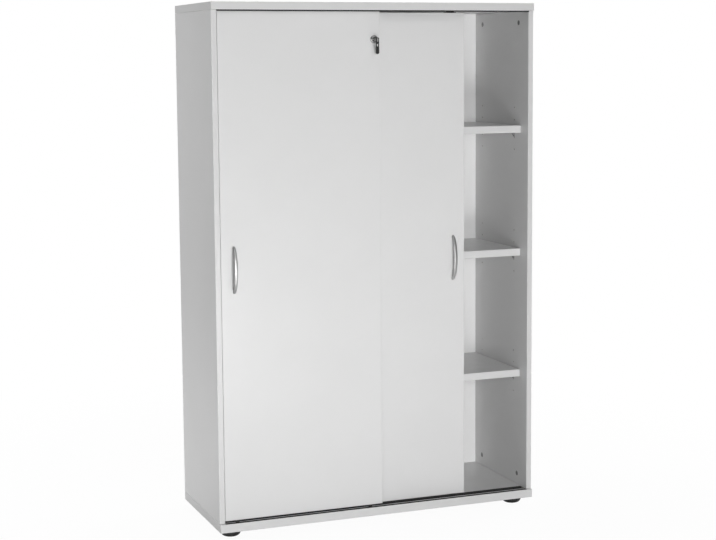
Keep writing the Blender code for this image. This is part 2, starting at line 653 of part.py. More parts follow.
def lock(carrier, chrome, steel, plastic):
    """The cylinder lock: its housing in the door, and on a turning empty the plug, the key and the lever."""
    at = Vector((LOCK_X, DOOR_FACE, LOCK_Z))
    inside = (PLUG_RADIUS + RUNNING_GAP) / math.cos(math.pi / LOCK_STEPS)
    profile = [
        (inside, -COLLAR_REACH),
        (COLLAR_RADIUS - COLLAR_CHAMFER, -COLLAR_REACH),
        (COLLAR_RADIUS, COLLAR_CHAMFER - COLLAR_REACH),
        (COLLAR_RADIUS, -ROSETTE_THICKNESS),
        (ROSETTE_RADIUS - ROSETTE_SLOPE, -ROSETTE_THICKNESS),
        (ROSETTE_RADIUS, ROSETTE_SLOPE - ROSETTE_THICKNESS),
        (ROSETTE_RADIUS, -SEAT_GAP),
        (BARREL_RADIUS, -SEAT_GAP),
        (BARREL_RADIUS, DOOR_THICKNESS - SEAT_GAP),
        (inside, DOOR_THICKNESS - SEAT_GAP),
    ]
    piece("lock_housing", turned(profile, "Y", LOCK_STEPS, closed=True), chrome, at, carrier, smooth=True)
    core = empty("lock_turn", at, carrier)
    plug_front = -COLLAR_REACH - PLUG_PROUD
    profile = [
        (0, plug_front),
        (PLUG_RADIUS, plug_front),
        (PLUG_RADIUS, DOOR_THICKNESS),
        (0, DOOR_THICKNESS),
    ]
    plug = piece("lock_plug", turned(profile, "Y", LOCK_STEPS), chrome, (0, 0, 0), core, smooth=True)
    lever_front = DOOR_THICKNESS + LEVER_CLEARANCE
    lever_rear = lever_front + LEVER_THICKNESS
    side = TAIL_SIDE / 2
    tail = rectangle(-side, side, -side, side)
    combine(plug, prism(tail, "Y", DOOR_THICKNESS - OVERRUN, lever_rear + TAIL_END), "UNION")
    wide, high = KEY_THICKNESS / 2 + SEAT_GAP, KEY_BLADE_HEIGHT / 2 + SEAT_GAP
    keyway = rectangle(-wide, wide, -high, high)
    combine(plug, prism(keyway, "Y", plug_front - OVERRUN, plug_front + KEYWAY_DEPTH), "DIFFERENCE")
    outline = capsule(0, LEVER_HUB_RADIUS, LEVER_TIP_RADIUS - LEVER_LENGTH, LEVER_TIP_RADIUS, 6)
    lever = piece("lock_lever", prism(outline, "Y", lever_front, lever_rear), steel, (0, 0, 0), core)
    side = TAIL_SIDE / 2 + SEAT_GAP
    eye = rectangle(-side, side, -side, side)
    combine(lever, prism(eye, "Y", lever_front - OVERRUN, lever_rear + OVERRUN), "DIFFERENCE")
    key(core, plug_front, steel, plastic)


def key(core, plug_front, steel, plastic):
    """A folding key: a cut blade and lug of steel, and a plastic bow that hangs on the fold pin."""
    high = KEY_BLADE_HEIGHT / 2
    tip = plug_front + KEY_BLADE_LENGTH
    shoulder_rear = plug_front - SEAT_GAP
    root = shoulder_rear - KEY_SHOULDER_LENGTH / 2
    blade = [(root, high)]
    pitch = (KEY_BLADE_LENGTH - high) / (KEY_CUTS + 1)
    for k in range(1, KEY_CUTS + 1):
        place = plug_front + k * pitch
        depth = KEY_CUT_DEPTH * (1 + k % 2) / 2
        blade += [(place - pitch / 3, high), (place, high - depth), (place + pitch / 3, high)]
    blade += [(tip - high, high), (tip, 0), (tip - high, -high), (root, -high)]
    flat = prism(blade, "X", -KEY_THICKNESS / 2, KEY_THICKNESS / 2)
    made = piece("key_blade", flat, steel, (0, 0, 0), core)
    shoulder = KEY_SHOULDER_HEIGHT / 2
    shoulder_front = shoulder_rear - KEY_SHOULDER_LENGTH
    lug = [(shoulder_rear, shoulder), (shoulder_rear, -shoulder), (shoulder_front, -shoulder)]
    for k in range(FOLD_STEPS + 1):
        turn = -math.pi / 2 - math.pi * k / FOLD_STEPS
        y = -KEY_PIVOT_REACH + KEY_LUG_RADIUS * math.cos(turn)
        lug.append((y, KEY_LUG_RADIUS * math.sin(turn) - KEY_PIVOT_DROP))
    lug.append((shoulder_front, shoulder))
    combine(made, prism(lug, "X", -KEY_NECK_THICKNESS / 2, KEY_NECK_THICKNESS / 2), "UNION")
    pin_hole = bore(FOLD_PIN_RADIUS + RUNNING_GAP, FOLD_STEPS, -KEY_PIVOT_REACH, -KEY_PIVOT_DROP)
    combine(made, prism(pin_hole, "X", -KEY_NECK_THICKNESS, KEY_NECK_THICKNESS), "DIFFERENCE")
    half, end = BOW_WIDTH / 2, BOW_END_WIDTH / 2
    outline = [
        (-half, BOW_ABOVE_PIN - half / 2),
        (-half / 2, BOW_ABOVE_PIN),
        (half / 2, BOW_ABOVE_PIN),
        (half, BOW_ABOVE_PIN - half / 2),
        (half, -BOW_EYE_BOTTOM),
    ]
    for k in range(FOLD_STEPS // 2 + 1):
        turn = -math.pi * k / (FOLD_STEPS // 2)
        outline.append((end * math.cos(turn), end - BOW_BELOW_PIN + end * math.sin(turn)))
    outline.append((-half, -BOW_EYE_BOTTOM))
    hinge = (0, -KEY_PIVOT_REACH, -KEY_PIVOT_DROP)
    bow = piece("key_bow", prism(outline, "Y", -BOW_THICKNESS / 2, BOW_THICKNESS / 2), plastic, hinge, core)
    bevel(bow, EDGE_BEVEL / 2)
    mouth_half, eye_half = BOW_MOUTH_WIDTH / 2, BOW_EYE_WIDTH / 2
    mouth = rectangle(-mouth_half, mouth_half, -BOW_MOUTH_DEPTH, BOW_ABOVE_PIN + OVERRUN)
    low, top = -BOW_EYE_BOTTOM, -BOW_EYE_TOP
    corner = eye_half / 2
    eye = [
        (-eye_half, low + corner), (-corner, low), (corner, low), (eye_half, low + corner),
        (eye_half, top - corner), (corner, top), (-corner, top), (-eye_half, top - corner),
    ]
    cuts = [prism(shape, "Y", -BOW_THICKNESS, BOW_THICKNESS) for shape in (mouth, eye)]
    combine(bow, gathered(cuts), "DIFFERENCE")
    combine(bow, prism(ring(FOLD_PIN_RADIUS, FOLD_STEPS), "X", -half + SEAT_GAP, half - SEAT_GAP), "UNION")


def strike(carrier, steel):
    """The strike in the rear door's face: a plate with a lip that a raised lever stops."""
    left = STRIKE_EDGE_DISTANCE - DOOR_WIDTH / 2
    at = (left, DOOR_FACE, strike_z())
    half = STRIKE_PLATE_HEIGHT / 2
    plate = prism(rectangle(0, STRIKE_PLATE_WIDTH, -half, half), "Y", 0, STRIKE_PLATE_THICKNESS)
    made = piece("lock_strike", plate, steel, at, carrier)
    half = STRIKE_LIP_HEIGHT / 2
    lip = rectangle(0, STRIKE_LIP_THICKNESS, -half, half)
    combine(made, prism(lip, "Y", -STRIKE_LIP_REACH, STRIKE_PLATE_THICKNESS / 2), "UNION")
    spread = STRIKE_HOLE_SPACING / 2
    holes = [ring(STRIKE_HOLE_RADIUS, 10, STRIKE_PLATE_WIDTH / 2, z) for z in (-spread, spread)]
    cuts = [prism(hole, "Y", -OVERRUN, STRIKE_PLATE_THICKNESS + OVERRUN) for hole in holes]
    combine(made, gathered(cuts), "DIFFERENCE")


for old in list(bpy.data.objects):
    bpy.data.objects.remove(old, do_unlink=True)

laminate = material("light grey laminate", (0.68, 0.68, 0.68), 0.4, 0)
track_plastic = material("black track plastic", (0.03, 0.03, 0.03), 0.5, 0)
nylon = material("black nylon", (0.035, 0.035, 0.035), 0.4, 0)
foot_plastic = material("black foot plastic", (0.02, 0.02, 0.02), 0.55, 0)
key_plastic = material("black key plastic", (0.015, 0.015, 0.015), 0.35, 0)
satin_nickel = material("satin nickel", (0.60, 0.60, 0.60), 0.32, 1)
chrome = material("polished chrome", (0.75, 0.75, 0.75), 0.1, 1)
steel = material("nickelled steel", (0.55, 0.55, 0.55), 0.3, 1)
zinc = material("die-cast zinc", (0.28, 0.28, 0.28), 0.45, 1)

SHELF_TOPS = tuple(MIDDLE_SHELF_TOP + step * SHELF_PITCH for step in (-1, 0, 1))

# Base, with the pocket for the bottom track and the groove for the back panel
base_front = SIDE_FRONT_Y - BASE_LIP
base = board("base_panel", -SIDE_X, SIDE_X, base_front, REAR_Y, FOOT_HEIGHT, BASE_TOP_Z, laminate)
bottom_front = base_front + BOTTOM_TRACK_EDGE + SEAT_GAP
bottom_rear = REAR_PLANE_Y + TRACK_REAR_MARGIN
pocket_floor = BASE_TOP_Z - BOTTOM_TRACK_DEPTH - SEAT_GAP
pocket = rectangle(bottom_front - SEAT_GAP, bottom_rear + SEAT_GAP, pocket_floor, BASE_TOP_Z + OVERRUN)
groove_x = INNER_X + BACK_TONGUE + SEAT_GAP
groove = rectangle(*back_groove_y(), BASE_TOP_Z - BACK_TONGUE - SEAT_GAP, BASE_TOP_Z + OVERRUN)
cuts = [prism(pocket, "X", -INNER_X, INNER_X), prism(groove, "X", -groove_x, groove_x)]
combine(base, gathered(cuts), "DIFFERENCE")

# Top, with the pocket for the top track and the groove for the back panel
lid_front = SIDE_FRONT_Y - TOP_LIP
top = board("top_panel", -SIDE_X, SIDE_X, lid_front, REAR_Y, TOP_UNDER_Z, CABINET_HEIGHT, laminate)
top_front = lid_front + TOP_TRACK_EDGE + SEAT_GAP
top_rear = REAR_PLANE_Y + TOP_TRACK_REAR_MARGIN
pocket_roof = TOP_UNDER_Z + TOP_TRACK_DEPTH + SEAT_GAP
pocket = rectangle(top_front - SEAT_GAP, top_rear + SEAT_GAP, TOP_UNDER_Z - OVERRUN, pocket_roof)
groove = rectangle(*back_groove_y(), TOP_UNDER_Z - OVERRUN, TOP_UNDER_Z + BACK_TONGUE + SEAT_GAP)
cuts = [prism(pocket, "X", -INNER_X, INNER_X), prism(groove, "X", -groove_x, groove_x)]
combine(top, gathered(cuts), "DIFFERENCE")

side_panel("left_side", -1, laminate)
side_panel("right_side", 1, laminate)
back_x = INNER_X + BACK_TONGUE
back_low, back_high = BASE_TOP_Z - BACK_TONGUE, TOP_UNDER_Z + BACK_TONGUE
board("back_panel", -back_x, back_x, BACK_FRONT_Y, BACK_REAR_Y, back_low, back_high, laminate)

# Shelves on their supports
shelf_x = INNER_X - SHELF_SIDE_GAP
shelf_front = SIDE_FRONT_Y + SHELF_SETBACK
shelf_rear = BACK_FRONT_Y - SHELF_BACK_GAP
for level, shelf_top in zip(("lower", "middle", "upper"), SHELF_TOPS):
    under = shelf_top - SHELF_THICKNESS
    board(f"shelf_{level}", -shelf_x, shelf_x, shelf_front, shelf_rear, under, shelf_top, laminate)
    for hand, word in ((-1, "left"), (1, "right")):
        for row, place in ((FRONT_ROW, "front"), (REAR_ROW, "rear")):
            name = f"shelf_support_{level}_{word}_{place}"
            shelf_support(name, hand, SIDE_FRONT_Y + row, shelf_top, steel)

# Cams in the sides and feet under the base
for hand, word in ((-1, "left"), (1, "right")):
    for (y, z), place in zip(cam_places(), ("lower_front", "upper_front", "lower_rear", "upper_rear")):
        cam(f"cam_{word}_{place}", hand, y, z, zinc)
    x = hand * (SIDE_X - FOOT_INSET)
    foot(f"foot_{word}_front", x, SIDE_FRONT_Y + FOOT_INSET, foot_plastic)
    foot(f"foot_{word}_rear", x, REAR_Y - FOOT_INSET, foot_plastic)

# Tracks: the bottom one with a running rib for each door, the top one with a groove for each
track_x = INNER_X - SEAT_GAP
rib = RIB_WIDTH / 2
rib_top = BOTTOM_TRACK_DEPTH - RIB_DROP
teeth = [
    (bottom_front, bottom_front + TRACK_WALL, BOTTOM_TRACK_DEPTH),
    (FRONT_PLANE_Y - rib, FRONT_PLANE_Y + rib, rib_top),
    (REAR_PLANE_Y - rib, REAR_PLANE_Y + rib, rib_top),
    (bottom_rear - TRACK_WALL, bottom_rear, BOTTOM_TRACK_DEPTH),
]
profile = comb(bottom_front, bottom_rear, TRACK_SOLE, 1, teeth)
track_at = (0, 0, BASE_TOP_Z - BOTTOM_TRACK_DEPTH)
piece("bottom_track", prism(profile, "X", -track_x, track_x), track_plastic, track_at)
flank = GUIDE_GROOVE_WIDTH / 2
teeth = [(top_front, top_front + TOP_TRACK_LIP_WIDTH, TOP_TRACK_DEPTH + TOP_TRACK_LIP)]
for plane in (FRONT_PLANE_Y, REAR_PLANE_Y):
    teeth.append((plane - flank - TRACK_WALL, plane - flank, TOP_TRACK_DEPTH))
    teeth.append((plane + flank, plane + flank + TRACK_WALL, TOP_TRACK_DEPTH))
teeth.append((top_rear - TRACK_WALL, top_rear, TOP_TRACK_DEPTH))
profile = comb(top_front, top_rear, TRACK_SOLE, -1, teeth)
track_at = (0, 0, TOP_UNDER_Z + TOP_TRACK_DEPTH)
piece("top_track", prism(profile, "X", -track_x, track_x), track_plastic, track_at)

# Doors with their rollers, guides, handles, lock and strike
front_handle_x = HANDLE_EDGE_DISTANCE - DOOR_WIDTH / 2
rear_handle_x = DOOR_WIDTH / 2 - HANDLE_EDGE_DISTANCE
front_at = (FRONT_DOOR_X, FRONT_PLANE_Y, FRONT_DOOR_BOTTOM)
rear_at = (REAR_DOOR_X, REAR_PLANE_Y, REAR_DOOR_BOTTOM)
front = door("front_door", front_at, laminate, [lock_hole()], FRONT_DOOR_BOTTOM, front_handle_x)
rear = door("rear_door", rear_at, laminate, [strike_recess()], REAR_DOOR_BOTTOM, rear_handle_x)
for name, carrier, bottom, handle_x in (
    ("front_door", front, FRONT_DOOR_BOTTOM, front_handle_x),
    ("rear_door", rear, REAR_DOOR_BOTTOM, rear_handle_x),
):
    for hand, word in ((-1, "left"), (1, "right")):
        roller_x = hand * (DOOR_WIDTH / 2 - ROLLER_EDGE_DISTANCE)
        guide_x = hand * (DOOR_WIDTH / 2 - GUIDE_EDGE_DISTANCE)
        roller(f"{name}_{word}", roller_x, carrier, bottom, track_plastic, nylon)
        top_guide(f"{name}_{word}", guide_x, carrier, bottom, track_plastic)
    handle(name, handle_x, carrier, satin_nickel, steel)
lock(front, chrome, steel, key_plastic)
strike(rear, steel)
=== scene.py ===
"""The looks of a filing cupboard with two sliding doors: light grey laminate boards, black tracks and
feet, satin nickel bow handles, and a chromed lock with its folding key. Metres, +Z up, the front faces
-Y."""

import math

import bmesh
import bpy
from bpy.props import FloatProperty, FloatVectorProperty, IntProperty, PointerProperty
from mathutils import Matrix, Vector


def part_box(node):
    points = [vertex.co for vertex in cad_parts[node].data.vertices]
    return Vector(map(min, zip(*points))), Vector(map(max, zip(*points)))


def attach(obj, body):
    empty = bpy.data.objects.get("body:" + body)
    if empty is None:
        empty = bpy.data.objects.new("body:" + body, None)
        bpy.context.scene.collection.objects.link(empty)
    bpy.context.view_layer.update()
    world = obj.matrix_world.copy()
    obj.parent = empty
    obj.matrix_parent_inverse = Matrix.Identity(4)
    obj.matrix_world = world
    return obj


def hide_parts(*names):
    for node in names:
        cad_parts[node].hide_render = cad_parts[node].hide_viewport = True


bl_info = {
    "name": "Filing cupboard",
    "version": (1, 0, 0),
    "blender": (4, 5, 0),
    "location": "3D View > Sidebar > Cupboard",
    "description": "Finishes a filing cupboard with two sliding doors on its packed model",
    "category": "Object",
}

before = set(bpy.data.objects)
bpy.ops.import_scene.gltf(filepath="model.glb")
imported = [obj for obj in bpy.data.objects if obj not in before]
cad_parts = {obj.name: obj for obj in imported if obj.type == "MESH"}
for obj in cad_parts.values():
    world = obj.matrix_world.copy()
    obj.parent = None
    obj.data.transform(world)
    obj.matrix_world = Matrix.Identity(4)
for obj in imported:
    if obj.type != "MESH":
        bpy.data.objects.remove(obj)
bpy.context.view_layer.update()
DOORS = ("front_door", "rear_door")
HANDS = ("left", "right")
BOARDS = {
    "top_panel": "Z",
    "base_panel": "Z",
    "left_side": "X",
    "right_side": "X",
    "back_panel": "Y",
    "shelf_lower": "Z",
    "shelf_middle": "Z",
    "shelf_upper": "Z",
    "front_door": "Y",
    "rear_door": "Y",
}
AXES = {"X": Vector((1, 0, 0)), "Y": Vector((0, 1, 0)), "Z": Vector((0, 0, 1))}


def size_of(node):
    low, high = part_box(node)
    return high - low


def middle_of(node):
    low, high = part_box(node)
    return (low + high) / 2


# Values that a user would change


def length(name, description, default):
    return FloatProperty(
        name=name,
        description=description,
        default=default,
        min=0,
        precision=5,
        subtype="DISTANCE",
        unit="LENGTH",
    )


def share(name, description, default):
    return FloatProperty(
        name=name, description=description, default=default, min=0, max=1, subtype="FACTOR"
    )


def number(name, description, default):
    return FloatProperty(name=name, description=description, default=default, precision=4)


def count(name, description, default, least):
    return IntProperty(name=name, description=description, default=default, min=least)


def power(name, description, default):
    return FloatProperty(name=name, description=description, default=default, min=0, unit="POWER")


def heading(name, description, degrees):
    return FloatProperty(
        name=name, description=description, default=math.radians(degrees), subtype="ANGLE"
    )


def colour(name, description, default):
    return FloatVectorProperty(
        name=name, description=description, default=default, size=3, min=0, max=1, subtype="COLOR"
    )


class BoardValues(bpy.types.PropertyGroup):
    """The laminate, its edge bands and its wear."""

    laminate: colour("Laminate", "Colour of the boards' faces", (0.68, 0.68, 0.68))
    band: colour("Edge band", "Colour of the bands on the boards' edges", (0.64, 0.64, 0.64))
    seam: colour("Seam", "Colour of the line where a band meets a face", (0.46, 0.46, 0.46))
    bare: colour("Worn arris", "Colour where an arris is rubbed", (0.80, 0.80, 0.80))
    # The bared chipboard's colour, darkened to paint the shade inside the holes and grooves
    core: colour("Core", "Colour of the chipboard in the holes and grooves", (0.34, 0.32, 0.30))
    back: colour("Back panel", "Colour of the back panel", (0.95, 0.95, 0.95))
    roughness: share("Roughness", "Roughness of the laminate", 0.35)
    band_thickness: length("Band thickness", "Thickness of the edge bands", 0.0012)
    seam_width: length("Seam width", "Width of the line beside a band", 0.0003)
    grain: length("Grain", "Size of the laminate's fine texture", 0.0011)
    mottle: length("Mottle", "Size of the laminate's slow changes of tone", 0.16)
    mottle_share: share("Mottle strength", "How much the tone changes", 0.008)
    wear_share: share("Wear", "How much of an arris is rubbed", 0.35)
    dust: colour("Dust", "Colour of the dust on faces that look up", (0.52, 0.52, 0.51))
    dust_share: share("Dust strength", "How much dust lies there", 0.10)


class PlasticValues(bpy.types.PropertyGroup):
    """The black plastics and the nylon."""

    track: colour("Bottom track", "Colour of the bottom track", (0.024, 0.024, 0.024))
    top_track: colour("Top track", "Colour of the top track, in its shade", (0.010, 0.010, 0.010))
    # Painted highlight: the next three values give the colour, width and depth of a light strip painted
    # along the top of the rib on which the front door runs
    rubbed_and_highlit: colour("Rubbed rib", "Colour of the rib on which the front door runs", (0.72, 0.72, 0.72))
    rib: length("Rib", "Width of the rubbed rib", 0.0024)
    highlight_depth: length("Rib wear", "How far under the base's upper face the rubbing reaches", 0.0017)
    housing: colour("Housings", "Colour of the roller housings and guides", (0.030, 0.030, 0.030))
    feet: colour("Feet", "Colour of the feet", (0.022, 0.022, 0.022))
    bow: colour("Key bow", "Colour of the key's bow", (0.014, 0.014, 0.014))
    nylon: colour("Wheels", "Colour of the nylon wheels", (0.035, 0.035, 0.035))
    skin: length("Skin", "Size of the moulded skin's texture", 0.0006)


class MetalValues(bpy.types.PropertyGroup):
    """The metals of the handles, the lock and the fittings."""

    nickel: colour("Satin nickel", "Colour of the handles", (0.49, 0.49, 0.49))
    nickel_roughness: share("Handle roughness", "Roughness of the handles", 0.40)
    chrome: colour("Chrome", "Colour of the lock", (0.42, 0.42, 0.42))
    steel: colour("Steel", "Colour of the key, lever, strike and screws", (0.58, 0.58, 0.58))
    zinc: colour("Zinc", "Colour of the connecting cams and the shelf supports", (0.30, 0.30, 0.30))


class HandleValues(bpy.types.PropertyGroup):
    """The bow handles."""

    reach: length("Length", "Length of a handle", size_of("handle_front_door").z)
    rise: length("Rise", "How far a handle stands from its door", size_of("handle_front_door").y)
    foot: length("Foot", "Length of a handle's foot on the door", 0.009)
    thickness: length("Thickness", "Thickness at the middle of the bow", 0.0045)
    end_width: length("End width", "Width at the feet", 0.0074)
    middle_width: length("Middle width", "Width at the middle", size_of("handle_front_door").x)
    arch: number("Arch", "How square the arch is: 1 is an ellipse", 1.16)
    roundness: number("Section", "How round the section is: 1 is an ellipse, less is squarer", 0.72)
    along: count("Steps along", "Faces along a handle", 72, 8)
    around: count("Steps around", "Faces round a handle", 32, 8)


class LockValues(bpy.types.PropertyGroup):
    """The cylinder lock and its folding key."""

    rosette: length("Rosette radius", "Radius of the lock's rosette", size_of("lock_housing").x / 2)
    rosette_thickness: length("Rosette thickness", "Thickness of the rosette", 0.0023)
    collar: length("Collar radius", "Radius of the lock's collar", 0.0095)
    collar_reach: length("Collar reach", "How far the collar stands from the door", 0.010)
    barrel: length("Barrel radius", "Radius of the barrel in the door", 0.009)
    plug: length("Plug radius", "Radius of the turning plug", 0.006)
    keyway_width: length("Keyway width", "Width of the key's slot", 0.0026)
    keyway_height: length("Keyway height", "Height of the key's slot", 0.0086)
    bow_round: length("Bow rounding", "Rounding of the bow's edges", 0.0009)
    steps: count("Steps", "Faces round the lock", 64, 12)


class FittingValues(bpy.types.PropertyGroup):
    """The wheels, cams, supports, screws and feet."""

    wheel_ribs: count("Wheel ribs", "Ribs on each side of a wheel", 8, 3)
    rib_width: length("Rib width", "Width of a wheel's rib", 0.0008)
    cam_recess: length("Cam recess", "Length of the cross in a cam", 0.0084)
    cam_slot: length("Cam slot", "Width of the cross in a cam", 0.0016)
    foot_sole: length("Sole radius", "Radius of a foot's flat sole", 0.015)
    edge_round: length("Edge rounding", "Rounding of the small fittings' edges", 0.0003)


class StageValues(bpy.types.PropertyGroup):
    """The floor, the lamps and the camera."""

    floor: colour("Floor", "Colour of the floor and backdrop", (0.88, 0.88, 0.88))
    backdrop_share: share("White share", "How much of the floor's seen colour is plain white", 0.96)
    world: number("World level", "Level of the light from all round", 0.10)
    key: power("Key", "Power of the front lamp", 62)
    low: power("Low", "Power of the lamp low in front", 14.5)
    high: power("High", "Power of the lamp above the front", 11.5)
    side: power("Sides", "Power of the lamps at the left and at the right", 38)
    rear: power("Rear", "Power of the lamp behind", 18)
    above: power("Above", "Power of the lamp over the top", 26)
    lens: FloatProperty(name="Lens", description="Focal length", default=79.550, unit="CAMERA")
    place: FloatVectorProperty(
        name="Camera",
        description="Place of the camera",
        default=(-1.72411, -4.44186, 1.37223),
        subtype="TRANSLATION",
    )
    yaw: heading("Yaw", "Turn to the right", 21.2284)
    pitch: heading("Pitch", "Tilt down", 6.6723)
    roll: heading("Roll", "Turn about the view", -0.4353)
    shift: number("Shift", "Upright shift of the lens", -0.036)


VALUES = {
    "board_values": BoardValues,
    "plastic_values": PlasticValues,
    "metal_values": MetalValues,
    "handle_values": HandleValues,
    "lock_values": LockValues,
    "fitting_values": FittingValues,
    "stage_values": StageValues,
}


# Node trees


def feed(tree, socket, value):
    if value is None:
        return
    if isinstance(value, bpy.types.Node):
        value = value.outputs[0]
    if isinstance(value, bpy.types.NodeSocket):
        tree.links.new(value, socket)
    elif socket.type == "RGBA" and len(value) == 3:
        socket.default_value = (*value, 1)
    else:
        socket.default_value = value


def step(tree, kind, *values, named=None, **settings):
    """A node with its settings, and each input given a value or another node's output."""
    made = tree.nodes.new(kind)
    for key, value in settings.items():
        setattr(made, key, value)
    for place, value in enumerate(values):
        feed(tree, made.inputs[place], value)
    for key, value in (named or {}).items():
        feed(tree, made.inputs[key], value)
    return made


def maths(tree, operation, *values, clamp=False):
    return step(tree, "ShaderNodeMath", *values, operation=operation, use_clamp=clamp).outputs[0]


def plus(tree, first, second):
    return maths(tree, "ADD", first, second)


def minus(tree, first, second, clamp=False):
    return maths(tree, "SUBTRACT", first, second, clamp=clamp)


def times(tree, first, second):
    return maths(tree, "MULTIPLY", first, second)


def over(tree, first, second):
    return maths(tree, "DIVIDE", first, second)


def vectors(tree, operation, *values):
    made = step(tree, "ShaderNodeVectorMath", *values, operation=operation)
    return made.outputs["Value"] if operation in ("LENGTH", "DOT_PRODUCT") else made.outputs["Vector"]


def ramp(tree, value, start, end, low=0.0, high=1.0):
    values = (value, start, end, low, high)
    return step(tree, "ShaderNodeMapRange", *values, interpolation_type="SMOOTHSTEP").outputs[0]


def blended(tree, amount, first, second):
    made = step(tree, "ShaderNodeMix", data_type="RGBA")
    feed(tree, made.inputs[0], amount)
    feed(tree, made.inputs[6], first)
    feed(tree, made.inputs[7], second)
    return made.outputs[2]


def noise(tree, place, scale, detail=2.0, roughness=0.5, distortion=0.0):
    made = step(tree, "ShaderNodeTexNoise", noise_dimensions="3D")
    feed(tree, made.inputs["Vector"], place)
    feed(tree, made.inputs["Scale"], scale)
    made.inputs["Detail"].default_value = detail
    made.inputs["Roughness"].default_value = roughness
    made.inputs["Distortion"].default_value = distortion
    return made.outputs[0]


SOCKETS = {
    "value": "NodeSocketFloat",
    "whole": "NodeSocketInt",
    "vector": "NodeSocketVector",
    "object": "NodeSocketObject",
    "material": "NodeSocketMaterial",
    "shape": "NodeSocketGeometry",
}


def new_group(name, kind, inputs, outputs):
    """An empty node group with named sockets, and its input and output nodes."""
    tree = bpy.data.node_groups.new(name, kind)
    for word, sort in inputs:
        tree.interface.new_socket(name=word, in_out="INPUT", socket_type=SOCKETS[sort])
    for word, sort in outputs:
        tree.interface.new_socket(name=word, in_out="OUTPUT", socket_type=SOCKETS[sort])
    return tree, tree.nodes.new("NodeGroupInput").outputs, tree.nodes.new("NodeGroupOutput").inputs


def effect(tree, name, **values):
    """A shader group placed in a material, with its own values."""
    made = tree.nodes.new("ShaderNodeGroup")
    made.node_tree = EFFECTS[name]
    for key, value in values.items():
        feed(tree, made.inputs[key.replace("_", " ").capitalize()], value)
    return made.outputs


def object_place(tree):
    return tree.nodes.new("ShaderNodeTexCoord").outputs["Object"]


# Depths, in metres, between which a board's face ends and between which its core begins
FACE_DEPTH, CORE_DEPTH = (0.0001, 0.0005), (0.0015, 0.0025)


def make_board_edges():
    """Where a point of a board lies: on an edge band, on the seam beside it, in the core that a hole or
    a groove bares, or near an arris."""
    inputs = [("Low", "vector"), ("High", "vector"), ("Thin", "vector"), ("Band thickness", "value")]
    inputs += [("Seam width", "value"), ("Arris reach", "value")]
    outputs = [("Seam", "value"), ("Band", "value"), ("Core", "value"), ("Arris", "value")]
    tree, given, out = new_group("Board edges", "ShaderNodeTree", inputs, outputs)
    place = object_place(tree)
    above = vectors(tree, "SUBTRACT", place, given["Low"])
    below = vectors(tree, "SUBTRACT", given["High"], place)
    near = vectors(tree, "ABSOLUTE", vectors(tree, "MINIMUM", above, below))
    depth = vectors(tree, "DOT_PRODUCT", near, given["Thin"])
    on_face = ramp(tree, depth, *FACE_DEPTH, 1.0, 0.0)
    pushed = vectors(tree, "ADD", near, given["Thin"])
    parts = step(tree, "ShaderNodeSeparateXYZ", pushed).outputs
    edge = maths(tree, "MINIMUM", maths(tree, "MINIMUM", parts[0], parts[1]), parts[2])
    off_seam = maths(tree, "ABSOLUTE", minus(tree, edge, given["Band thickness"]))
    line = minus(tree, 1.0, over(tree, off_seam, given["Seam width"]), clamp=True)
    feed(tree, out["Seam"], times(tree, line, on_face))
    inside = minus(tree, 1.0, on_face)
    core = times(tree, inside, ramp(tree, edge, *CORE_DEPTH))
    feed(tree, out["Core"], core)
    feed(tree, out["Band"], minus(tree, inside, core))
    sides = step(tree, "ShaderNodeSeparateXYZ", near).outputs
    total = plus(tree, plus(tree, sides[0], sides[1]), sides[2])
    least = maths(tree, "MINIMUM", maths(tree, "MINIMUM", sides[0], sides[1]), sides[2])
    most = maths(tree, "MAXIMUM", maths(tree, "MAXIMUM", sides[0], sides[1]), sides[2])
    arris = minus(tree, minus(tree, total, least), most)
    away = over(tree, arris, given["Arris reach"])
    feed(tree, out["Arris"], minus(tree, 1.0, away, clamp=True))
    return tree


def make_laminate_grain():
    """A pressed laminate's fine texture and its slow changes of tone."""
    tree, given, out = new_group(
        "Laminate grain",
        "ShaderNodeTree",
        [("Grain", "value"), ("Mottle", "value")],
        [("Texture", "value"), ("Tone", "value"), ("Smudge", "value")],
    )
    place = object_place(tree)
    fine = noise(tree, place, over(tree, 1.0, given["Grain"]), 3.0, 0.6)
    feed(tree, out["Texture"], ramp(tree, fine, 0.25, 0.75))
    slow = noise(tree, place, over(tree, 1.0, given["Mottle"]), 5.0, 0.55)
    feed(tree, out["Tone"], ramp(tree, slow, 0.3, 0.7))
    wide = noise(tree, place, over(tree, 3.5, given["Mottle"]), 6.0, 0.65, 0.6)
    feed(tree, out["Smudge"], ramp(tree, wide, 0.48, 0.72))
    return tree


def make_worn_arris():
    """A mask for an arris rubbed in places, from how near the arris is."""
    tree, given, out = new_group(
        "Worn arris", "ShaderNodeTree", [("Arris", "value"), ("Wear", "value")], [("Worn", "value")]
    )
    place = object_place(tree)
    broken = noise(tree, place, 70.0, 5.0, 0.7)
    long_run = noise(tree, place, 9.0, 2.0, 0.5)
    lift = plus(tree, times(tree, broken, 0.6), times(tree, long_run, 0.5))
    lift = plus(tree, lift, given["Wear"])
    total = plus(tree, lift, times(tree, given["Arris"], 0.5))
    worn_and_highlit = times(tree, ramp(tree, total, 1.12, 1.36), given["Arris"])
    feed(tree, out["Worn"], worn_and_highlit)
    return tree


def make_settled_dust():
    """A thin uneven film on faces that look up."""
    inputs, outputs = [("Amount", "value")], [("Dust", "value")]
    tree, given, out = new_group("Settled dust", "ShaderNodeTree", inputs, outputs)
    ways = tree.nodes.new("ShaderNodeTexCoord")
    up = step(tree, "ShaderNodeSeparateXYZ", ways.outputs["Normal"]).outputs[2]
    patch = noise(tree, ways.outputs["Object"], 22.0, 6.0, 0.62)
    film = times(tree, ramp(tree, up, 0.6, 0.95), ramp(tree, patch, 0.35, 0.75))
    feed(tree, out["Dust"], times(tree, film, given["Amount"]))
    return tree


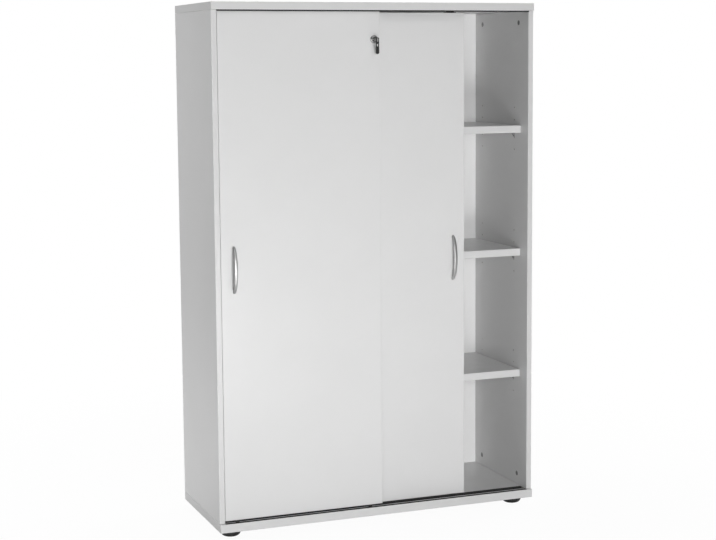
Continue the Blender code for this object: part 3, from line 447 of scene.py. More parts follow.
def make_drawn_lines():
    """Fine lines drawn along one direction, as on an extrusion or on brushed metal."""
    inputs = [("Squeeze", "vector"), ("Fineness", "value")]
    outputs = [("Lines", "value"), ("Cloud", "value")]
    tree, given, out = new_group("Drawn lines", "ShaderNodeTree", inputs, outputs)
    place = object_place(tree)
    stretched = vectors(tree, "MULTIPLY", place, given["Squeeze"])
    lines = noise(tree, stretched, given["Fineness"], 3.0, 0.65)
    feed(tree, out["Lines"], ramp(tree, lines, 0.28, 0.72))
    feed(tree, out["Cloud"], ramp(tree, noise(tree, place, 60.0, 4.0, 0.6), 0.35, 0.7))
    return tree


def make_moulded_skin():
    """The eroded skin of a moulded plastic, and light scuffs on it."""
    tree, given, out = new_group(
        "Moulded skin", "ShaderNodeTree", [("Skin", "value")], [("Skin", "value"), ("Scuff", "value")]
    )
    place = object_place(tree)
    fine = noise(tree, place, over(tree, 1.0, given["Skin"]), 2.0, 0.5)
    feed(tree, out["Skin"], ramp(tree, fine, 0.3, 0.7))
    feed(tree, out["Scuff"], ramp(tree, noise(tree, place, 160.0, 6.0, 0.7, 0.8), 0.56, 0.74))
    return tree


EFFECTS = {}


def make_effects():
    EFFECTS["edges"] = make_board_edges()
    EFFECTS["grain"] = make_laminate_grain()
    EFFECTS["wear"] = make_worn_arris()
    EFFECTS["dust"] = make_settled_dust()
    EFFECTS["lines"] = make_drawn_lines()
    EFFECTS["skin"] = make_moulded_skin()


# Materials

# How much of its colour each effect gives the laminate, and how much it adds to the roughness
GRAIN_TINT, BAND_TINT, SEAM_TINT, WORN_TINT = 0.12, 0.8, 0.7, 0.5
SMUDGE_DULLS, WEAR_DULLS, DUST_DULLS = 0.02, 0.12, 0.5
# Heights of the surfaces' relief, in metres
LAMINATE_RELIEF, PLASTIC_RELIEF = 0.00006, 0.00005


def new_material(name):
    made = bpy.data.materials.new(name)
    made.use_nodes = True
    return made, made.node_tree, made.node_tree.nodes["Principled BSDF"]


def raise_surface(tree, shader, height, depth, strength=1.0):
    bump = step(tree, "ShaderNodeBump", strength, depth)
    feed(tree, bump.inputs["Height"], height)
    feed(tree, shader.inputs["Normal"], bump)


def laminate(name, node, thin, face, values):
    """Pressed laminate on a board, with its edge bands, the seams beside them and rubbed arrises."""
    made, tree, shader = new_material(name)
    low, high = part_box(node)
    edges = effect(
        tree,
        "edges",
        low=low,
        high=high,
        thin=AXES[thin],
        band_thickness=values.band_thickness,
        seam_width=values.seam_width,
        arris_reach=values.band_thickness * 2.5,
    )
    grain = effect(tree, "grain", grain=values.grain, mottle=values.mottle)
    worn_and_highlit = effect(tree, "wear", arris=edges["Arris"], wear=values.wear_share)["Worn"]
    dust = effect(tree, "dust", amount=values.dust_share)["Dust"]
    dark = [channel * (1 - values.mottle_share) for channel in face]
    light = [min(channel * (1 + values.mottle_share), 1) for channel in face]
    tone = blended(tree, grain["Tone"], dark, light)
    for mask, amount, tint in (
        (grain["Texture"], GRAIN_TINT, values.bare),
        (edges["Band"], BAND_TINT, values.band),
        (edges["Seam"], SEAM_TINT, values.seam),
        (worn_and_highlit, WORN_TINT, values.bare),
        # Bared chipboard in holes and grooves, its colour darkened to paint their shade
        (edges["Core"], 1.0, values.core),
        (dust, 1.0, values.dust),
    ):
        tone = blended(tree, times(tree, mask, amount), tone, tint)
    feed(tree, shader.inputs["Base Color"], tone)
    rough = values.roughness - SMUDGE_DULLS / 2
    for mask, amount in ((grain["Smudge"], SMUDGE_DULLS), (worn_and_highlit, WEAR_DULLS), (dust, DUST_DULLS)):
        rough = plus(tree, rough, times(tree, mask, amount))
    feed(tree, shader.inputs["Roughness"], rough)
    height = minus(tree, times(tree, grain["Texture"], 0.5), edges["Seam"])
    raise_surface(tree, shader, height, LAMINATE_RELIEF, 0.5)
    return made


def plastic(name, base, roughness, values, scuff_share=0.25, scuff=(0.16, 0.16, 0.16), rubbed_and_highlit=None):
    """Moulded or extruded plastic. A last argument, if given, paints a highlight along a rib's top: it
    gives the rib's plane, half its width, the height where the painted highlight begins, and the
    highlight's colour."""
    made, tree, shader = new_material(name)
    skin = effect(tree, "skin", skin=values.skin)
    tone = blended(tree, times(tree, skin["Scuff"], scuff_share), base, scuff)
    height = skin["Skin"]
    level = plus(tree, roughness, times(tree, skin["Scuff"], 0.12))
    if rubbed_and_highlit:
        # Painted highlight: a light strip along the rib's top, broken by streaks; its roughness is
        # lowered too
        plane, half, low, highlight_colour = rubbed_and_highlit
        lines = effect(tree, "lines", squeeze=(0.02, 1, 1), fineness=900.0)
        parts = step(tree, "ShaderNodeSeparateXYZ", object_place(tree)).outputs
        off = maths(tree, "ABSOLUTE", minus(tree, parts[1], plane))
        track = ramp(tree, off, half, half * 1.25, 1.0, 0.0)
        track = times(tree, track, ramp(tree, parts[2], low - 0.0003, low))
        highlight_streaks = plus(tree, 0.5, times(tree, lines["Lines"], 0.5))
        worn_and_highlit = times(tree, track, highlight_streaks)
        tone = blended(tree, worn_and_highlit, tone, highlight_colour)
        level = minus(tree, level, times(tree, worn_and_highlit, 0.12))
        height = plus(tree, times(tree, height, 0.4), lines["Lines"])
    feed(tree, shader.inputs["Base Color"], tone)
    feed(tree, shader.inputs["Roughness"], level)
    raise_surface(tree, shader, height, PLASTIC_RELIEF, 0.6)
    return made


def metal(name, base, roughness, squeeze=(1, 1, 1), fineness=500.0, depth=0.000015, cloud_share=0.12):
    """A plated metal with fine lines along one direction and a slow cloud of tarnish."""
    made, tree, shader = new_material(name)
    shader.inputs["Metallic"].default_value = 1
    lines = effect(tree, "lines", squeeze=squeeze, fineness=fineness)
    dark = [channel * 0.72 for channel in base]
    tone = blended(tree, times(tree, lines["Cloud"], cloud_share * 2), base, dark)
    feed(tree, shader.inputs["Base Color"], tone)
    level = plus(tree, roughness * 0.85, times(tree, lines["Lines"], roughness * 0.3))
    level = plus(tree, level, times(tree, lines["Cloud"], cloud_share))
    feed(tree, shader.inputs["Roughness"], level)
    raise_surface(tree, shader, lines["Lines"], depth, 0.5)
    return made


def paint(node_or_piece, look):
    """Gives a piece or a CAD node its material."""
    slots = node_or_piece.data.materials
    if len(slots) == 0:
        slots.append(look)
    for place in range(len(slots)):
        slots[place] = look


# Meshes

MERGE = 1e-6  # points nearer to each other than this become one


def new_object(name, data):
    made = bpy.data.objects.new(name, data)
    bpy.context.scene.collection.objects.link(made)
    return made


def nodes_named(start):
    """The CAD nodes whose names begin so, in the order of their names."""
    return sorted(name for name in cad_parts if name.startswith(start))


def oblong(half_wide, half_high):
    """The outline of a rectangle about its middle."""
    u, v = half_wide, half_high
    return [(-u, -v), (u, -v), (u, v), (-u, v)]


def piece_from(shape, name):
    """A bmesh as a piece at the origin, its doubles merged and its faces turned outward."""
    bmesh.ops.remove_doubles(shape, verts=shape.verts, dist=MERGE)
    bmesh.ops.recalc_face_normals(shape, faces=shape.faces)
    mesh = bpy.data.meshes.new(name)
    shape.to_mesh(mesh)
    shape.free()
    return new_object(name, mesh)


def smoothed(piece, angle=35):
    """Shades a piece smooth, but for the edges sharper than the angle in degrees."""
    piece.data.shade_smooth()
    piece.data.set_sharp_from_angle(angle=math.radians(angle))
    return piece


def settled(piece, angle=35):
    """The piece with its modifiers turned into plain mesh, its doubles merged and its faces outward."""
    ready = piece.evaluated_get(bpy.context.evaluated_depsgraph_get())
    mesh = bpy.data.meshes.new_from_object(ready)
    piece.modifiers.clear()
    shape = bmesh.new()
    shape.from_mesh(mesh)
    bmesh.ops.remove_doubles(shape, verts=shape.verts, dist=MERGE)
    bmesh.ops.recalc_face_normals(shape, faces=shape.faces)
    shape.to_mesh(mesh)
    shape.free()
    old = piece.data
    piece.data = mesh
    mesh.name = piece.name
    bpy.data.meshes.remove(old)
    return smoothed(piece, angle)


def rounded_copy(name, node, width, segments=2):
    """A copy of a CAD node with its triangles joined into faces and its edges rounded."""
    shape = bmesh.new()
    shape.from_mesh(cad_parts[node].data)
    bmesh.ops.remove_doubles(shape, verts=shape.verts, dist=MERGE)
    bmesh.ops.dissolve_limit(shape, angle_limit=math.radians(1), verts=shape.verts, edges=shape.edges)
    made = piece_from(shape, name)
    rounding = made.modifiers.new("Rounding", "BEVEL")
    rounding.width = width
    rounding.segments = segments
    rounding.limit_method = "ANGLE"
    rounding.angle_limit = math.radians(25)
    return settled(made, 40)


def turned(profile, axis, steps, centre=(0, 0, 0)):
    """A body of revolution: profile points are (distance from the axis, place along it)."""
    shape = bmesh.new()
    along = AXES[axis]
    out = AXES["X"] if axis != "X" else AXES["Y"]
    verts = [shape.verts.new(out * radius + along * place) for radius, place in profile]
    edges = [shape.edges.new(pair) for pair in zip(verts, verts[1:])]
    line = verts + edges
    bmesh.ops.spin(shape, geom=line, cent=(0, 0, 0), axis=along, angle=2 * math.pi, steps=steps)
    bmesh.ops.translate(shape, verts=shape.verts, vec=centre)
    return shape


def eased(profile, radius, points=4):
    """A profile with its inner corners rounded by short arcs."""
    made = [profile[0]]
    for before, corner, after in zip(profile, profile[1:], profile[2:]):
        tip = Vector(corner)
        first, second = Vector(before) - tip, Vector(after) - tip
        reach = min(radius, first.length * 0.45, second.length * 0.45)
        start, end = tip + first.normalized() * reach, tip + second.normalized() * reach
        for k in range(points + 1):
            t = k / points
            made.append(tuple(start * (1 - t) ** 2 + tip * 2 * t * (1 - t) + end * t * t))
    return made + [profile[-1]]


def prism(outline, axis, start, end, centre=(0, 0, 0)):
    """A closed prism from an outline square to the axis."""
    shape = bmesh.new()
    corners = {
        "X": [(start, u, v) for u, v in outline],
        "Y": [(u, start, v) for u, v in outline],
        "Z": [(u, v, start) for u, v in outline],
    }[axis]
    face = shape.faces.new([shape.verts.new(corner) for corner in corners])
    drawn = bmesh.ops.extrude_face_region(shape, geom=[face], use_keep_orig=True)
    moved = [item for item in drawn["geom"] if isinstance(item, bmesh.types.BMVert)]
    bmesh.ops.translate(shape, verts=moved, vec=AXES[axis] * (end - start))
    bmesh.ops.translate(shape, verts=shape.verts, vec=centre)
    bmesh.ops.recalc_face_normals(shape, faces=shape.faces)
    return shape


def combined(piece, shape, operation="DIFFERENCE"):
    """Cuts a shape out of a piece, or joins the two with UNION, and leaves a plain mesh."""
    tool = piece_from(shape, piece.name + "_tool")
    change = piece.modifiers.new("Change", "BOOLEAN")
    change.operation = operation
    change.solver = "EXACT"
    change.object = tool
    settled(piece)
    bpy.data.objects.remove(tool)


def place_piece(piece, look, body, nodes):
    paint(piece, look)
    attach(piece, body)
    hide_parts(*nodes)


# Geometry Nodes


def set_up(piece, tree, **values):
    """Puts a tree on a piece as a modifier, with its inputs set by their identifiers."""
    step_on = piece.modifiers.new(tree.name, "NODES")
    step_on.node_group = tree
    for item in tree.interface.items_tree:
        key = item.name.lower().replace(" ", "_")
        if item.in_out == "INPUT" and key in values:
            value = values[key]
            step_on[item.identifier] = list(value) if isinstance(value, Vector) else value
    return settled(piece)


def bare_object(name, points=()):
    mesh = bpy.data.meshes.new(name)
    mesh.from_pydata([tuple(point) for point in points], [], [])
    return new_object(name, mesh)


def finish_tree(tree, out, shape, look):
    real = step(tree, "GeometryNodeRealizeInstances", shape)
    painted = step(tree, "GeometryNodeSetMaterial", real)
    feed(tree, painted.inputs["Material"], look)
    feed(tree, out["Shape"], painted)
    return tree


BOW_SIZES = ("reach", "rise", "foot", "thickness", "end_width", "middle_width", "arch", "roundness")


def bow_tree():
    """A bow between an outer and an inner arch, its section a squared ellipse and its ends closed."""
    inputs = [(word.replace("_", " ").capitalize(), "value") for word in BOW_SIZES]
    inputs += [("Along", "whole"), ("Around", "whole"), ("Centre", "vector"), ("Material", "material")]
    tree, given, out = new_group("Bow handle", "GeometryNodeTree", inputs, [("Shape", "shape")])
    rows = plus(tree, given["Along"], 3.0)
    columns = plus(tree, given["Around"], 1.0)
    grid = step(tree, "GeometryNodeMeshGrid", 1.0, 1.0, columns, rows)
    spot = step(tree, "ShaderNodeSeparateXYZ", tree.nodes.new("GeometryNodeInputPosition")).outputs
    turn_round = times(tree, plus(tree, spot[0], 0.5), 2 * math.pi)
    row = times(tree, plus(tree, spot[1], 0.5), plus(tree, given["Along"], 2.0))
    raw = over(tree, minus(tree, row, 1.0), given["Along"])
    way = maths(tree, "MAXIMUM", maths(tree, "MINIMUM", raw, 1.0), 0.0)
    # The first and the last row of points close on the middle of the end they lie on
    inside = maths(tree, "LESS_THAN", maths(tree, "ABSOLUTE", minus(tree, raw, 0.5)), 0.501)
    turn = times(tree, minus(tree, way, 0.5), math.pi)
    sine, cosine = maths(tree, "SINE", turn), maths(tree, "MAXIMUM", maths(tree, "COSINE", turn), 0.0)
    bulge = maths(tree, "POWER", cosine, given["Arch"])
    half = over(tree, given["Reach"], 2.0)
    outer_z = times(tree, half, sine)
    outer_y = times(tree, given["Rise"], bulge)
    inner_z = times(tree, minus(tree, half, given["Foot"]), sine)
    inner_y = times(tree, minus(tree, given["Rise"], given["Thickness"]), bulge)
    swell = minus(tree, given["Middle width"], given["End width"])
    wide = times(tree, swell, maths(tree, "SINE", times(tree, way, math.pi)))
    wide = over(tree, plus(tree, given["End width"], wide), 2.0)

    def squared(value):
        size = maths(tree, "POWER", maths(tree, "ABSOLUTE", value), given["Roundness"])
        signed = times(tree, size, maths(tree, "SIGN", value))
        return times(tree, signed, inside)

    across = squared(maths(tree, "COSINE", turn_round))
    deep = squared(maths(tree, "SINE", turn_round))

    def between(outer, inner):
        middle = over(tree, plus(tree, outer, inner), 2.0)
        reach = over(tree, minus(tree, outer, inner), 2.0)
        return maths(tree, "MULTIPLY_ADD", reach, deep, middle)

    y = times(tree, between(outer_y, inner_y), -1.0)
    x, z = times(tree, wide, across), between(outer_z, inner_z)
    placed = vectors(tree, "ADD", step(tree, "ShaderNodeCombineXYZ", x, y, z), given["Centre"])
    moved = step(tree, "GeometryNodeSetPosition", grid, None, placed)
    joined = step(tree, "GeometryNodeMergeByDistance", moved)
    joined.inputs["Distance"].default_value = MERGE
    return finish_tree(tree, out, joined, given["Material"])


def ribs_tree():
    """Ribs set in a ring on both sides of a wheel's web, joined to the wheel."""
    inputs = [("Wheel", "shape"), ("Count", "whole")]
    inputs += [(word, "value") for word in ("Inner radius", "Outer radius", "Rib width", "Rib depth")]
    inputs += [("Centre", "vector"), ("Material", "material")]
    tree, given, out = new_group("Wheel ribs", "GeometryNodeTree", inputs, [("Shape", "shape")])
    middle = over(tree, plus(tree, given["Inner radius"], given["Outer radius"]), 2.0)
    reach = minus(tree, given["Outer radius"], given["Inner radius"])
    circle = step(tree, "GeometryNodeMeshCircle", given["Count"], middle)
    size = step(tree, "ShaderNodeCombineXYZ", reach, given["Rib width"], given["Rib depth"])
    bar = step(tree, "GeometryNodeMeshCube", size)
    # A rib's long side points outward from the axle: the ring lies across Z, then stands up along Y
    spot = tree.nodes.new("GeometryNodeInputPosition").outputs[0]
    aim = step(tree, "FunctionNodeAlignRotationToVector", axis="X")
    feed(tree, aim.inputs["Vector"], spot)
    ring = step(tree, "GeometryNodeInstanceOnPoints", circle)
    feed(tree, ring.inputs["Instance"], bar.outputs["Mesh"])
    feed(tree, ring.inputs["Rotation"], aim)
    upright = step(tree, "GeometryNodeTransform", ring)
    feed(tree, upright.inputs["Translation"], given["Centre"])
    upright.inputs["Rotation"].default_value = (math.pi / 2, 0, 0)
    whole = step(tree, "GeometryNodeJoinGeometry")
    feed(tree, whole.inputs[0], given["Wheel"])
    feed(tree, whole.inputs[0], upright.outputs[0])
    return finish_tree(tree, out, whole, given["Material"])


def copies_tree():
    """A fitting set at each of the points, turned by the turn that each point carries."""
    inputs = [("Points", "shape"), ("Fitting", "object"), ("Size", "value"), ("Material", "material")]
    tree, given, out = new_group("Fittings at points", "GeometryNodeTree", inputs, [("Shape", "shape")])
    source = step(tree, "GeometryNodeObjectInfo", given["Fitting"])
    turn = step(tree, "GeometryNodeInputNamedAttribute", "turn", data_type="FLOAT_VECTOR")
    copies = step(tree, "GeometryNodeInstanceOnPoints", given["Points"])
    feed(tree, copies.inputs["Instance"], source.outputs["Geometry"])
    feed(tree, copies.inputs["Rotation"], turn.outputs["Attribute"])
    size = step(tree, "ShaderNodeCombineXYZ", given["Size"], given["Size"], given["Size"])
    feed(tree, copies.inputs["Scale"], size)
    return finish_tree(tree, out, copies, given["Material"])


TREES = {}


def make_trees():
    TREES["bow"] = bow_tree()
    TREES["ribs"] = ribs_tree()
    TREES["copies"] = copies_tree()


def copies(name, fitting, places, turns, look):
    """One piece that holds a copy of the fitting at each place. The pattern is then thrown away."""
    points = bare_object(name, places)
    turn = points.data.attributes.new("turn", "FLOAT_VECTOR", "POINT")
    turn.data.foreach_set("vector", [value for angles in turns for value in angles])
    set_up(points, TREES["copies"], fitting=fitting, size=1.0, material=look)
    mesh = fitting.data
    bpy.data.objects.remove(fitting)
    bpy.data.meshes.remove(mesh)
    return points


# The cupboard's pieces


def values_of(name):
    return getattr(bpy.context.scene, name)


class CUPBOARD_OT_boards(bpy.types.Operator):
    """Laminate on the top, base, sides, shelves, back panel and doors"""

    bl_idname = "cupboard.boards"
    bl_label = "Boards"

    def execute(self, context):
        values = values_of("board_values")
        for node, thin in BOARDS.items():
            face = values.back if node == "back_panel" else values.laminate
            look = laminate(f"laminate of the {node.replace('_', ' ')}", node, thin, face, values)
            paint(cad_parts[node], look)
        return {"FINISHED"}


class CUPBOARD_OT_tracks(bpy.types.Operator):
    """Black plastic on the top and the bottom track, with a highlight painted along the top of the front
    door's rib
    """

    bl_idname = "cupboard.tracks"
    bl_label = "Tracks"

    def execute(self, context):
        values = values_of("plastic_values")
        # The rib on which the front door runs gets a light strip painted along its top as a highlight
        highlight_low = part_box("bottom_track")[1].z - values.highlight_depth
        rubbed_and_highlit = (middle_of("front_door").y, values.rib / 2, highlight_low, values.rubbed_and_highlit)
        look = plastic("black top track plastic", values.top_track, 0.55, values, scuff_share=0.03)
        paint(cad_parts["top_track"], look)
        name = "black bottom track plastic"
        look = plastic(name, values.track, 0.50, values, scuff_share=0.06, rubbed_and_highlit=rubbed_and_highlit)
        paint(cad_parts["bottom_track"], look)
        return {"FINISHED"}


class CUPBOARD_OT_running_gear(bpy.types.Operator):
    """The grooved wheels on their axles, their housings, and the guides in the top track"""

    bl_idname = "cupboard.running_gear"
    bl_label = "Rollers and guides"

    def execute(self, context):
        plastics, fittings = values_of("plastic_values"), values_of("fitting_values")
        black = plastic("black housing plastic", plastics.housing, 0.45, plastics, scuff_share=0.2)
        nylon = plastic("black nylon", plastics.nylon, 0.38, plastics, scuff_share=0.3)
        for door in DOORS:
            for hand in HANDS:
                for sort in ("roller_housing", "top_guide"):
                    node = f"{sort}_{door}_{hand}"
                    made = rounded_copy(f"{sort}_{door}_{hand}_finished", node, fittings.edge_round)
                    place_piece(made, black, door, [node])
                self.wheel(f"roller_wheel_{door}_{hand}", nylon, fittings)
        return {"FINISHED"}

    def wheel(self, node, look, values):
        """A grooved wheel turned about its axle, with ribs on both sides of its web."""
        centre, rim, half = middle_of(node), size_of(node).z / 2, size_of(node).y / 2
        one_side = [
            (rim - 0.0020, half * 0.40),
            (rim - 0.0003, half * 0.85),
            (rim, half),
            (rim * 0.70, half),
            (rim * 0.66, half * 0.45),
            (rim * 0.38, half * 0.45),
            (rim * 0.36, half),
            (0.00160, half),
        ]
        profile = [(radius, -place) for radius, place in one_side[::-1]][::-1]
        ring = eased(one_side[::-1] + profile, 0.0003, 2)
        ring.append(ring[0])
        made = piece_from(turned(ring, "Y", steps=48, centre=centre), node + "_finished")
        set_up(
            made,
            TREES["ribs"],
            count=values.wheel_ribs,
            inner_radius=rim * 0.33,
            outer_radius=rim * 0.70,
            rib_width=values.rib_width,
            rib_depth=half * 1.7,
            centre=centre,
            material=look,
        )
        place_piece(made, look, node, [node])


class CUPBOARD_OT_handles(bpy.types.Operator):
    """The two bow handles and the screws that hold them from behind"""

    bl_idname = "cupboard.handles"
    bl_label = "Handles"

    def execute(self, context):
        values, metals = values_of("handle_values"), values_of("metal_values")
        sizes = {word: getattr(values, word) for word in BOW_SIZES + ("along", "around")}
        nickel = metal(
            "satin nickel",
            metals.nickel,
            metals.nickel_roughness,
            squeeze=(1, 1, 0.06),
            fineness=900.0,
            depth=0.00002,
            cloud_share=0.06,
        )
        steel = metal("nickelled screw steel", metals.steel, 0.28)
        for door in DOORS:
            node = f"handle_{door}"
            low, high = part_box(node)
            centre = Vector(((low.x + high.x) / 2, high.y, (low.z + high.z) / 2))
            made = bare_object(f"bow_{door}")
            set_up(made, TREES["bow"], centre=centre, material=nickel, **sizes)
            place_piece(made, nickel, door, [node])
            self.screws(door, steel)
        return {"FINISHED"}

    def screws(self, door, look):
        """A pan-headed screw with a cross recess, set twice."""
        nodes = [f"handle_screw_{door}_{end}" for end in ("lower", "upper")]
        long, head = size_of(nodes[0]).y, size_of(nodes[0]).x / 2
        shank, point, taper = 0.00175, 0.0009, 0.0025
        profile = [(0, -long), (point, -long), (shank, taper - long), (shank, -0.0026)]
        profile += [(head, -0.0024), (head, -0.0013), (head * 0.7, -0.0003), (0, 0)]
        screw = piece_from(turned(eased(profile, 0.0003, 2), "Y", steps=24), "screw_pattern")
        slot, cross, recess = 0.0007, 0.0030, 0.0011
        for wide, high in ((slot, cross), (cross, slot)):
            combined(screw, prism(oblong(wide / 2, high / 2), "Y", -recess, 0.001))
        places = [Vector((middle_of(node).x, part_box(node)[1].y, middle_of(node).z)) for node in nodes]
        made = copies(f"handle_screws_{door}", screw, places, [(0, 0.4, 0), (0, 1.1, 0)], look)
        place_piece(made, look, door, nodes)


class CUPBOARD_OT_lock(bpy.types.Operator):
    """The cylinder lock, its folding key, its lever and the strike"""

    bl_idname = "cupboard.lock"
    bl_label = "Lock and key"

    def execute(self, context):
        values, metals = values_of("lock_values"), values_of("metal_values")
        plastics = values_of("plastic_values")
        chrome = metal(
            "polished chrome", metals.chrome, 0.09, fineness=300.0, depth=0.000004, cloud_share=0.03
        )
        steel = metal("nickelled key steel", metals.steel, 0.24, squeeze=(1, 0.1, 1), fineness=900.0)
        black = plastic("black key plastic", plastics.bow, 0.30, plastics, scuff_share=0.2)
        door_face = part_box("front_door")[0].y
        centre = Vector((middle_of("lock_housing").x, door_face, middle_of("lock_housing").z))
        self.housing(centre, values, chrome)
        self.plug(centre, values, chrome)
        for node, body, slot in (
            ("key_blade", "lock_core", "steel"),
            ("lock_lever", "lock_core", "steel"),
            ("lock_strike", "rear_door", "steel"),
        ):
            place_piece(rounded_copy(node + "_finished", node, 0.00025), steel, body, [node])
        bow = rounded_copy("key_bow_finished", "key_bow", values.bow_round / 2, 3)
        place_piece(bow, black, "key_bow", ["key_bow"])
        return {"FINISHED"}

    def housing(self, centre, values, look):
        """Rosette, collar with a dished mouth, and the barrel through the door."""
        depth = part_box("lock_housing")[1].y - centre.y
        inside = values.plug + 0.0001
        profile = [
            (inside, -values.collar_reach + 0.0012),
            (inside + 0.0007, -values.collar_reach + 0.0010),
            (values.collar - 0.0016, -values.collar_reach),
            (values.collar, -values.collar_reach),
            (values.collar, -values.rosette_thickness),
            (values.collar + 0.0004, -values.rosette_thickness),
            (values.rosette - 0.0010, -values.rosette_thickness * 0.75),
            (values.rosette, -values.rosette_thickness * 0.25),
            (values.rosette, -0.0003),
            (values.barrel, -0.0003),
            (values.barrel, depth),
            (inside, depth),
        ]
        ring = eased(profile, 0.0005, 3)
        ring.append(ring[0])
        made = smoothed(piece_from(turned(ring, "Y", values.steps, centre), "lock_housing_finished"))
        place_piece(made, look, "front_door", ["lock_housing"])

    def plug(self, centre, values, look):
        """The plug with its rounded rims, its keyway and its square tail."""
        front, rear = (corner.y - centre.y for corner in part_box("lock_plug"))
        thick = size_of("front_door").y
        profile = [(0, front), (values.plug, front), (values.plug, thick), (0, thick)]
        shape = turned(eased(profile, 0.0004, 3), "Y", values.steps, centre)
        made = smoothed(piece_from(shape, "lock_plug_finished"))
        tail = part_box("lock_lever")[1].y - centre.y
        side, overlap, keyway_depth = 0.0025, 0.002, 0.0203
        tail_end = min(tail + 0.0004, rear)
        combined(made, prism(oblong(side, side), "Y", thick - overlap, tail_end, centre), "UNION")
        slot = oblong(values.keyway_width / 2, values.keyway_height / 2)
        combined(made, prism(slot, "Y", front - 0.001, front + keyway_depth, centre))
        place_piece(made, look, "lock_core", ["lock_plug"])


class CUPBOARD_OT_fittings(bpy.types.Operator):
    """The connecting cams in the sides and the supports under the shelves"""

    bl_idname = "cupboard.fittings"
    bl_label = "Cams and shelf supports"

    def execute(self, context):
        self.cams()
        self.supports()
        return {"FINISHED"}

    def cams(self):
        values, metals = values_of("fitting_values"), values_of("metal_values")
        zinc = metal("die-cast zinc", metals.zinc, 0.42, fineness=700.0, depth=0.00004, cloud_share=0.15)
        nodes = nodes_named("cam_")
        radius, depth = size_of(nodes[0]).z / 2, size_of(nodes[0]).x
        profile = [(0, 0), (radius * 0.86, 0), (radius, 0.0006), (radius, depth), (0, depth)]
        cam = smoothed(piece_from(turned(eased(profile, 0.0003, 2), "X", steps=40), "cam_pattern"))
        long, wide, recess = values.cam_recess / 2, values.cam_slot / 2, 0.0025
        for half_y, half_z in ((long, wide), (wide, long)):
            combined(cam, prism(oblong(half_y, half_z), "X", -0.001, recess))
        places, turns = [], []
        for node in nodes:
            low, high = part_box(node)
            left = middle_of(node).x < 0
            places.append(Vector((high.x if left else low.x, middle_of(node).y, middle_of(node).z)))
            turns.append((0.5 + len(turns), 0, math.pi if left else 0))
        made = copies("cams", cam, places, turns, zinc)
        place_piece(made, zinc, "carcass", nodes)

    def supports(self):
        metals, values = values_of("metal_values"), values_of("fitting_values")
        steel = metal("dull support steel", metals.zinc, 0.45, squeeze=(1, 0.2, 1), fineness=600.0)
        nodes = nodes_named("shelf_support_")
        right = next(name for name in nodes if "_right_" in name)
        pattern = rounded_copy("support_pattern", right, values.edge_round)
        centre = middle_of(right)
        pattern.data.transform(Matrix.Translation(-centre))
        places = [middle_of(node) for node in nodes]
        turns = [(0, 0, math.pi if place.x < 0 else 0) for place in places]
        made = copies("shelf_supports", pattern, places, turns, steel)
        place_piece(made, steel, "carcass", nodes)


class CUPBOARD_OT_feet(bpy.types.Operator):
    """The four black glide feet under the base"""

    bl_idname = "cupboard.feet"
    bl_label = "Feet"

    def execute(self, context):
        values, plastics = values_of("fitting_values"), values_of("plastic_values")
        black = plastic("black foot plastic", plastics.feet, 0.46, plastics, scuff_share=0.35)
        nodes = nodes_named("foot_")
        radius, height = size_of(nodes[0]).x / 2, size_of(nodes[0]).z
        profile = [(0, 0), (values.foot_sole, 0)]
        for k in range(1, 9):
            turn = math.pi / 2 * k / 8
            reach = values.foot_sole + (radius - values.foot_sole) * math.sin(turn)
            profile.append((reach, height * 0.53 * (1 - math.cos(turn))))
        neck = radius - 0.0008
        profile += [(radius, height - 0.0025), (neck, height - 0.0018), (neck, height), (0, height)]
        foot = smoothed(piece_from(turned(profile, "Z", steps=64), "foot_pattern"))
        places = [Vector((middle_of(node).x, middle_of(node).y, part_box(node)[0].z)) for node in nodes]
        made = copies("feet", foot, places, [(0, 0, 0.7 * k) for k in range(len(nodes))], black)
        place_piece(made, black, "carcass", nodes)
        return {"FINISHED"}


# Each lamp's name, the name of its power, its width, its place and the point it is aimed at
LAMPS = (
    ("key", "key", 0.9, (-0.67, -4.30, 1.25), (0, 0, 0.70)),
    ("low", "low", 0.7, (-0.25, -2.20, 0.20), (0, 0, 0.2)),
    ("high", "high", 1.2, (0.20, -2.20, 3.20), (0, 0, 1.0)),
    ("left", "side", 1.2, (-2.80, 1.20, 1.55), (-0.5, 0, 1.0)),
    ("right", "side", 1.2, (2.80, 1.20, 1.55), (0.5, 0, 1.0)),
    ("rear", "rear", 2.0, (0.80, 4.20, 1.60), (0, 0, 0.75)),
    ("above", "above", 1.4, (0, 0.60, 3.40), (0, 0, 1.5)),
)


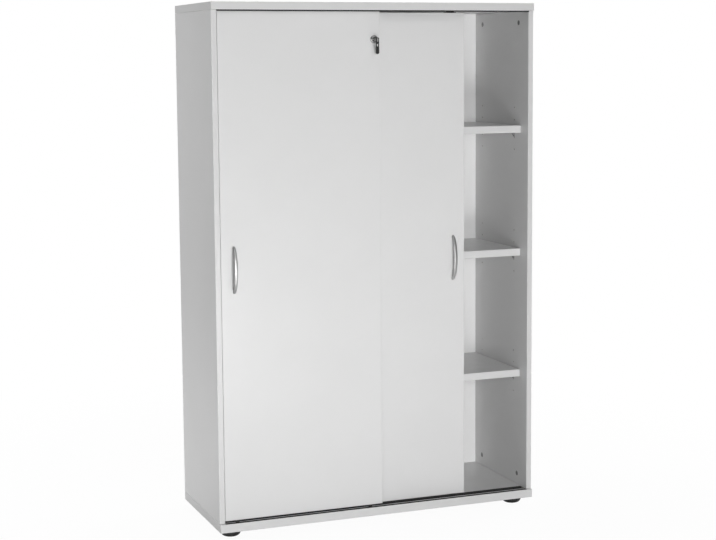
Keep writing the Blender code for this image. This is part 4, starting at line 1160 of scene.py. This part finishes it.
class CUPBOARD_OT_stage(bpy.types.Operator):
    """The floor with its backdrop, the lamps, the world and the camera"""

    bl_idname = "cupboard.stage"
    bl_label = "Stage"

    def execute(self, context):
        values = values_of("stage_values")
        self.floor(values)
        self.world(context.scene, values)
        for name, power_name, size, place, target in LAMPS:
            self.lamp(name, place, size, getattr(values, power_name), target)
        self.camera(context.scene, values)
        context.scene.view_settings.view_transform = "Standard"
        return {"FINISHED"}

    def seen_ray(self, tree):
        """1 for rays straight from the camera, else 0."""
        return tree.nodes.new("ShaderNodeLightPath").outputs["Is Camera Ray"]

    def floor(self, values):
        """A floor that curves up into a backdrop on all four sides."""
        half, radius, height = 9.0, 3.0, 7.0
        shape = bmesh.new()
        outline = [(half, height), (half, radius)]
        for k in range(13):
            turn = math.pi / 2 * k / 12
            outline.append((half - radius + radius * math.cos(turn), radius - radius * math.sin(turn)))
        rings = []
        for reach, z in outline:
            rings.append([shape.verts.new((x, y, z)) for x, y in oblong(reach, reach)])
        for first, second in zip(rings, rings[1:]):
            for k in range(4):
                shape.faces.new((first[k - 1], first[k], second[k], second[k - 1]))
        shape.faces.new(rings[-1])
        made = smoothed(piece_from(shape, "floor"), 30)
        look, tree, shader = new_material("pale floor")
        speck = noise(tree, object_place(tree), 30.0, 4.0, 0.6)
        tone = blended(tree, times(tree, speck, 0.03), values.floor, (0.8, 0.8, 0.8))
        feed(tree, shader.inputs["Base Color"], tone)
        shader.inputs["Roughness"].default_value = 0.9
        shader.inputs["Specular IOR Level"].default_value = 0
        white = step(tree, "ShaderNodeEmission")
        white.inputs["Strength"].default_value = 1
        # Near the cupboard the floor keeps its shadow; farther off it fades to plain white
        place = vectors(tree, "MULTIPLY", object_place(tree), (1, 1, 0.5))
        near, far = 0.7, 2.2
        away = vectors(tree, "LENGTH", place)
        white_share = ramp(tree, away, near, far, values.backdrop_share, 1.0)
        amount = times(tree, self.seen_ray(tree), white_share)
        both = step(tree, "ShaderNodeMixShader", amount, shader.outputs[0], white.outputs[0])
        feed(tree, tree.nodes["Material Output"].inputs["Surface"], both)
        paint(made, look)

    def world(self, scene, values):
        world = bpy.data.worlds.new("studio")
        scene.world = world
        world.use_nodes = True
        tree = world.node_tree
        back = tree.nodes["Background"]
        back.inputs["Color"].default_value = (1, 1, 1, 1)
        level = step(tree, "ShaderNodeMapRange", self.seen_ray(tree), 0.0, 1.0, values.world, 1.0)
        feed(tree, back.inputs["Strength"], level)

    def lamp(self, name, place, size, power, target):
        light = bpy.data.lights.new(name, "AREA")
        light.shape = "DISK"
        light.size = size
        light.energy = power
        made = new_object(name, light)
        made.visible_camera = False
        made.location = place
        made.rotation_mode = "QUATERNION"
        made.rotation_quaternion = (Vector(target) - Vector(place)).to_track_quat("-Z", "Y")

    def camera(self, scene, values):
        data = bpy.data.cameras.new("camera")
        data.lens = values.lens
        data.sensor_width = 36
        data.shift_y = values.shift
        data.clip_end = 100
        made = new_object("camera", data)
        yaw, pitch, roll = values.yaw, values.pitch, values.roll
        level = math.cos(pitch)
        ahead = Vector((math.sin(yaw) * level, math.cos(yaw) * level, -math.sin(pitch)))
        right = Vector((math.cos(yaw), -math.sin(yaw), 0))
        up = right.cross(ahead)
        side = right * math.cos(roll) + up * math.sin(roll)
        top = up * math.cos(roll) - right * math.sin(roll)
        turn = Matrix((side, top, -ahead)).transposed().to_4x4()
        made.matrix_world = Matrix.Translation(Vector(values.place)) @ turn
        scene.camera = made


OPERATORS = (
    CUPBOARD_OT_boards,
    CUPBOARD_OT_tracks,
    CUPBOARD_OT_running_gear,
    CUPBOARD_OT_handles,
    CUPBOARD_OT_lock,
    CUPBOARD_OT_fittings,
    CUPBOARD_OT_feet,
    CUPBOARD_OT_stage,
)


class CUPBOARD_PT_panel(bpy.types.Panel):
    """The steps that finish the cupboard"""

    bl_idname = "CUPBOARD_PT_panel"
    bl_label = "Filing cupboard"
    bl_space_type = "VIEW_3D"
    bl_region_type = "UI"
    bl_category = "Cupboard"

    def draw(self, context):
        for operator in OPERATORS:
            self.layout.operator(operator.bl_idname)


def register():
    for group in VALUES.values():
        bpy.utils.register_class(group)
    for operator in OPERATORS:
        bpy.utils.register_class(operator)
    bpy.utils.register_class(CUPBOARD_PT_panel)
    for name, group in VALUES.items():
        setattr(bpy.types.Scene, name, PointerProperty(type=group))


def unregister():
    for name in VALUES:
        delattr(bpy.types.Scene, name)
    bpy.utils.unregister_class(CUPBOARD_PT_panel)
    for kept in (*OPERATORS[::-1], *VALUES.values()):
        bpy.utils.unregister_class(kept)


def main():
    register()
    make_effects()
    make_trees()
    for operator in OPERATORS:
        family, step_name = operator.bl_idname.split(".")
        getattr(getattr(bpy.ops, family), step_name)()


if __name__ == "__main__":
    main()
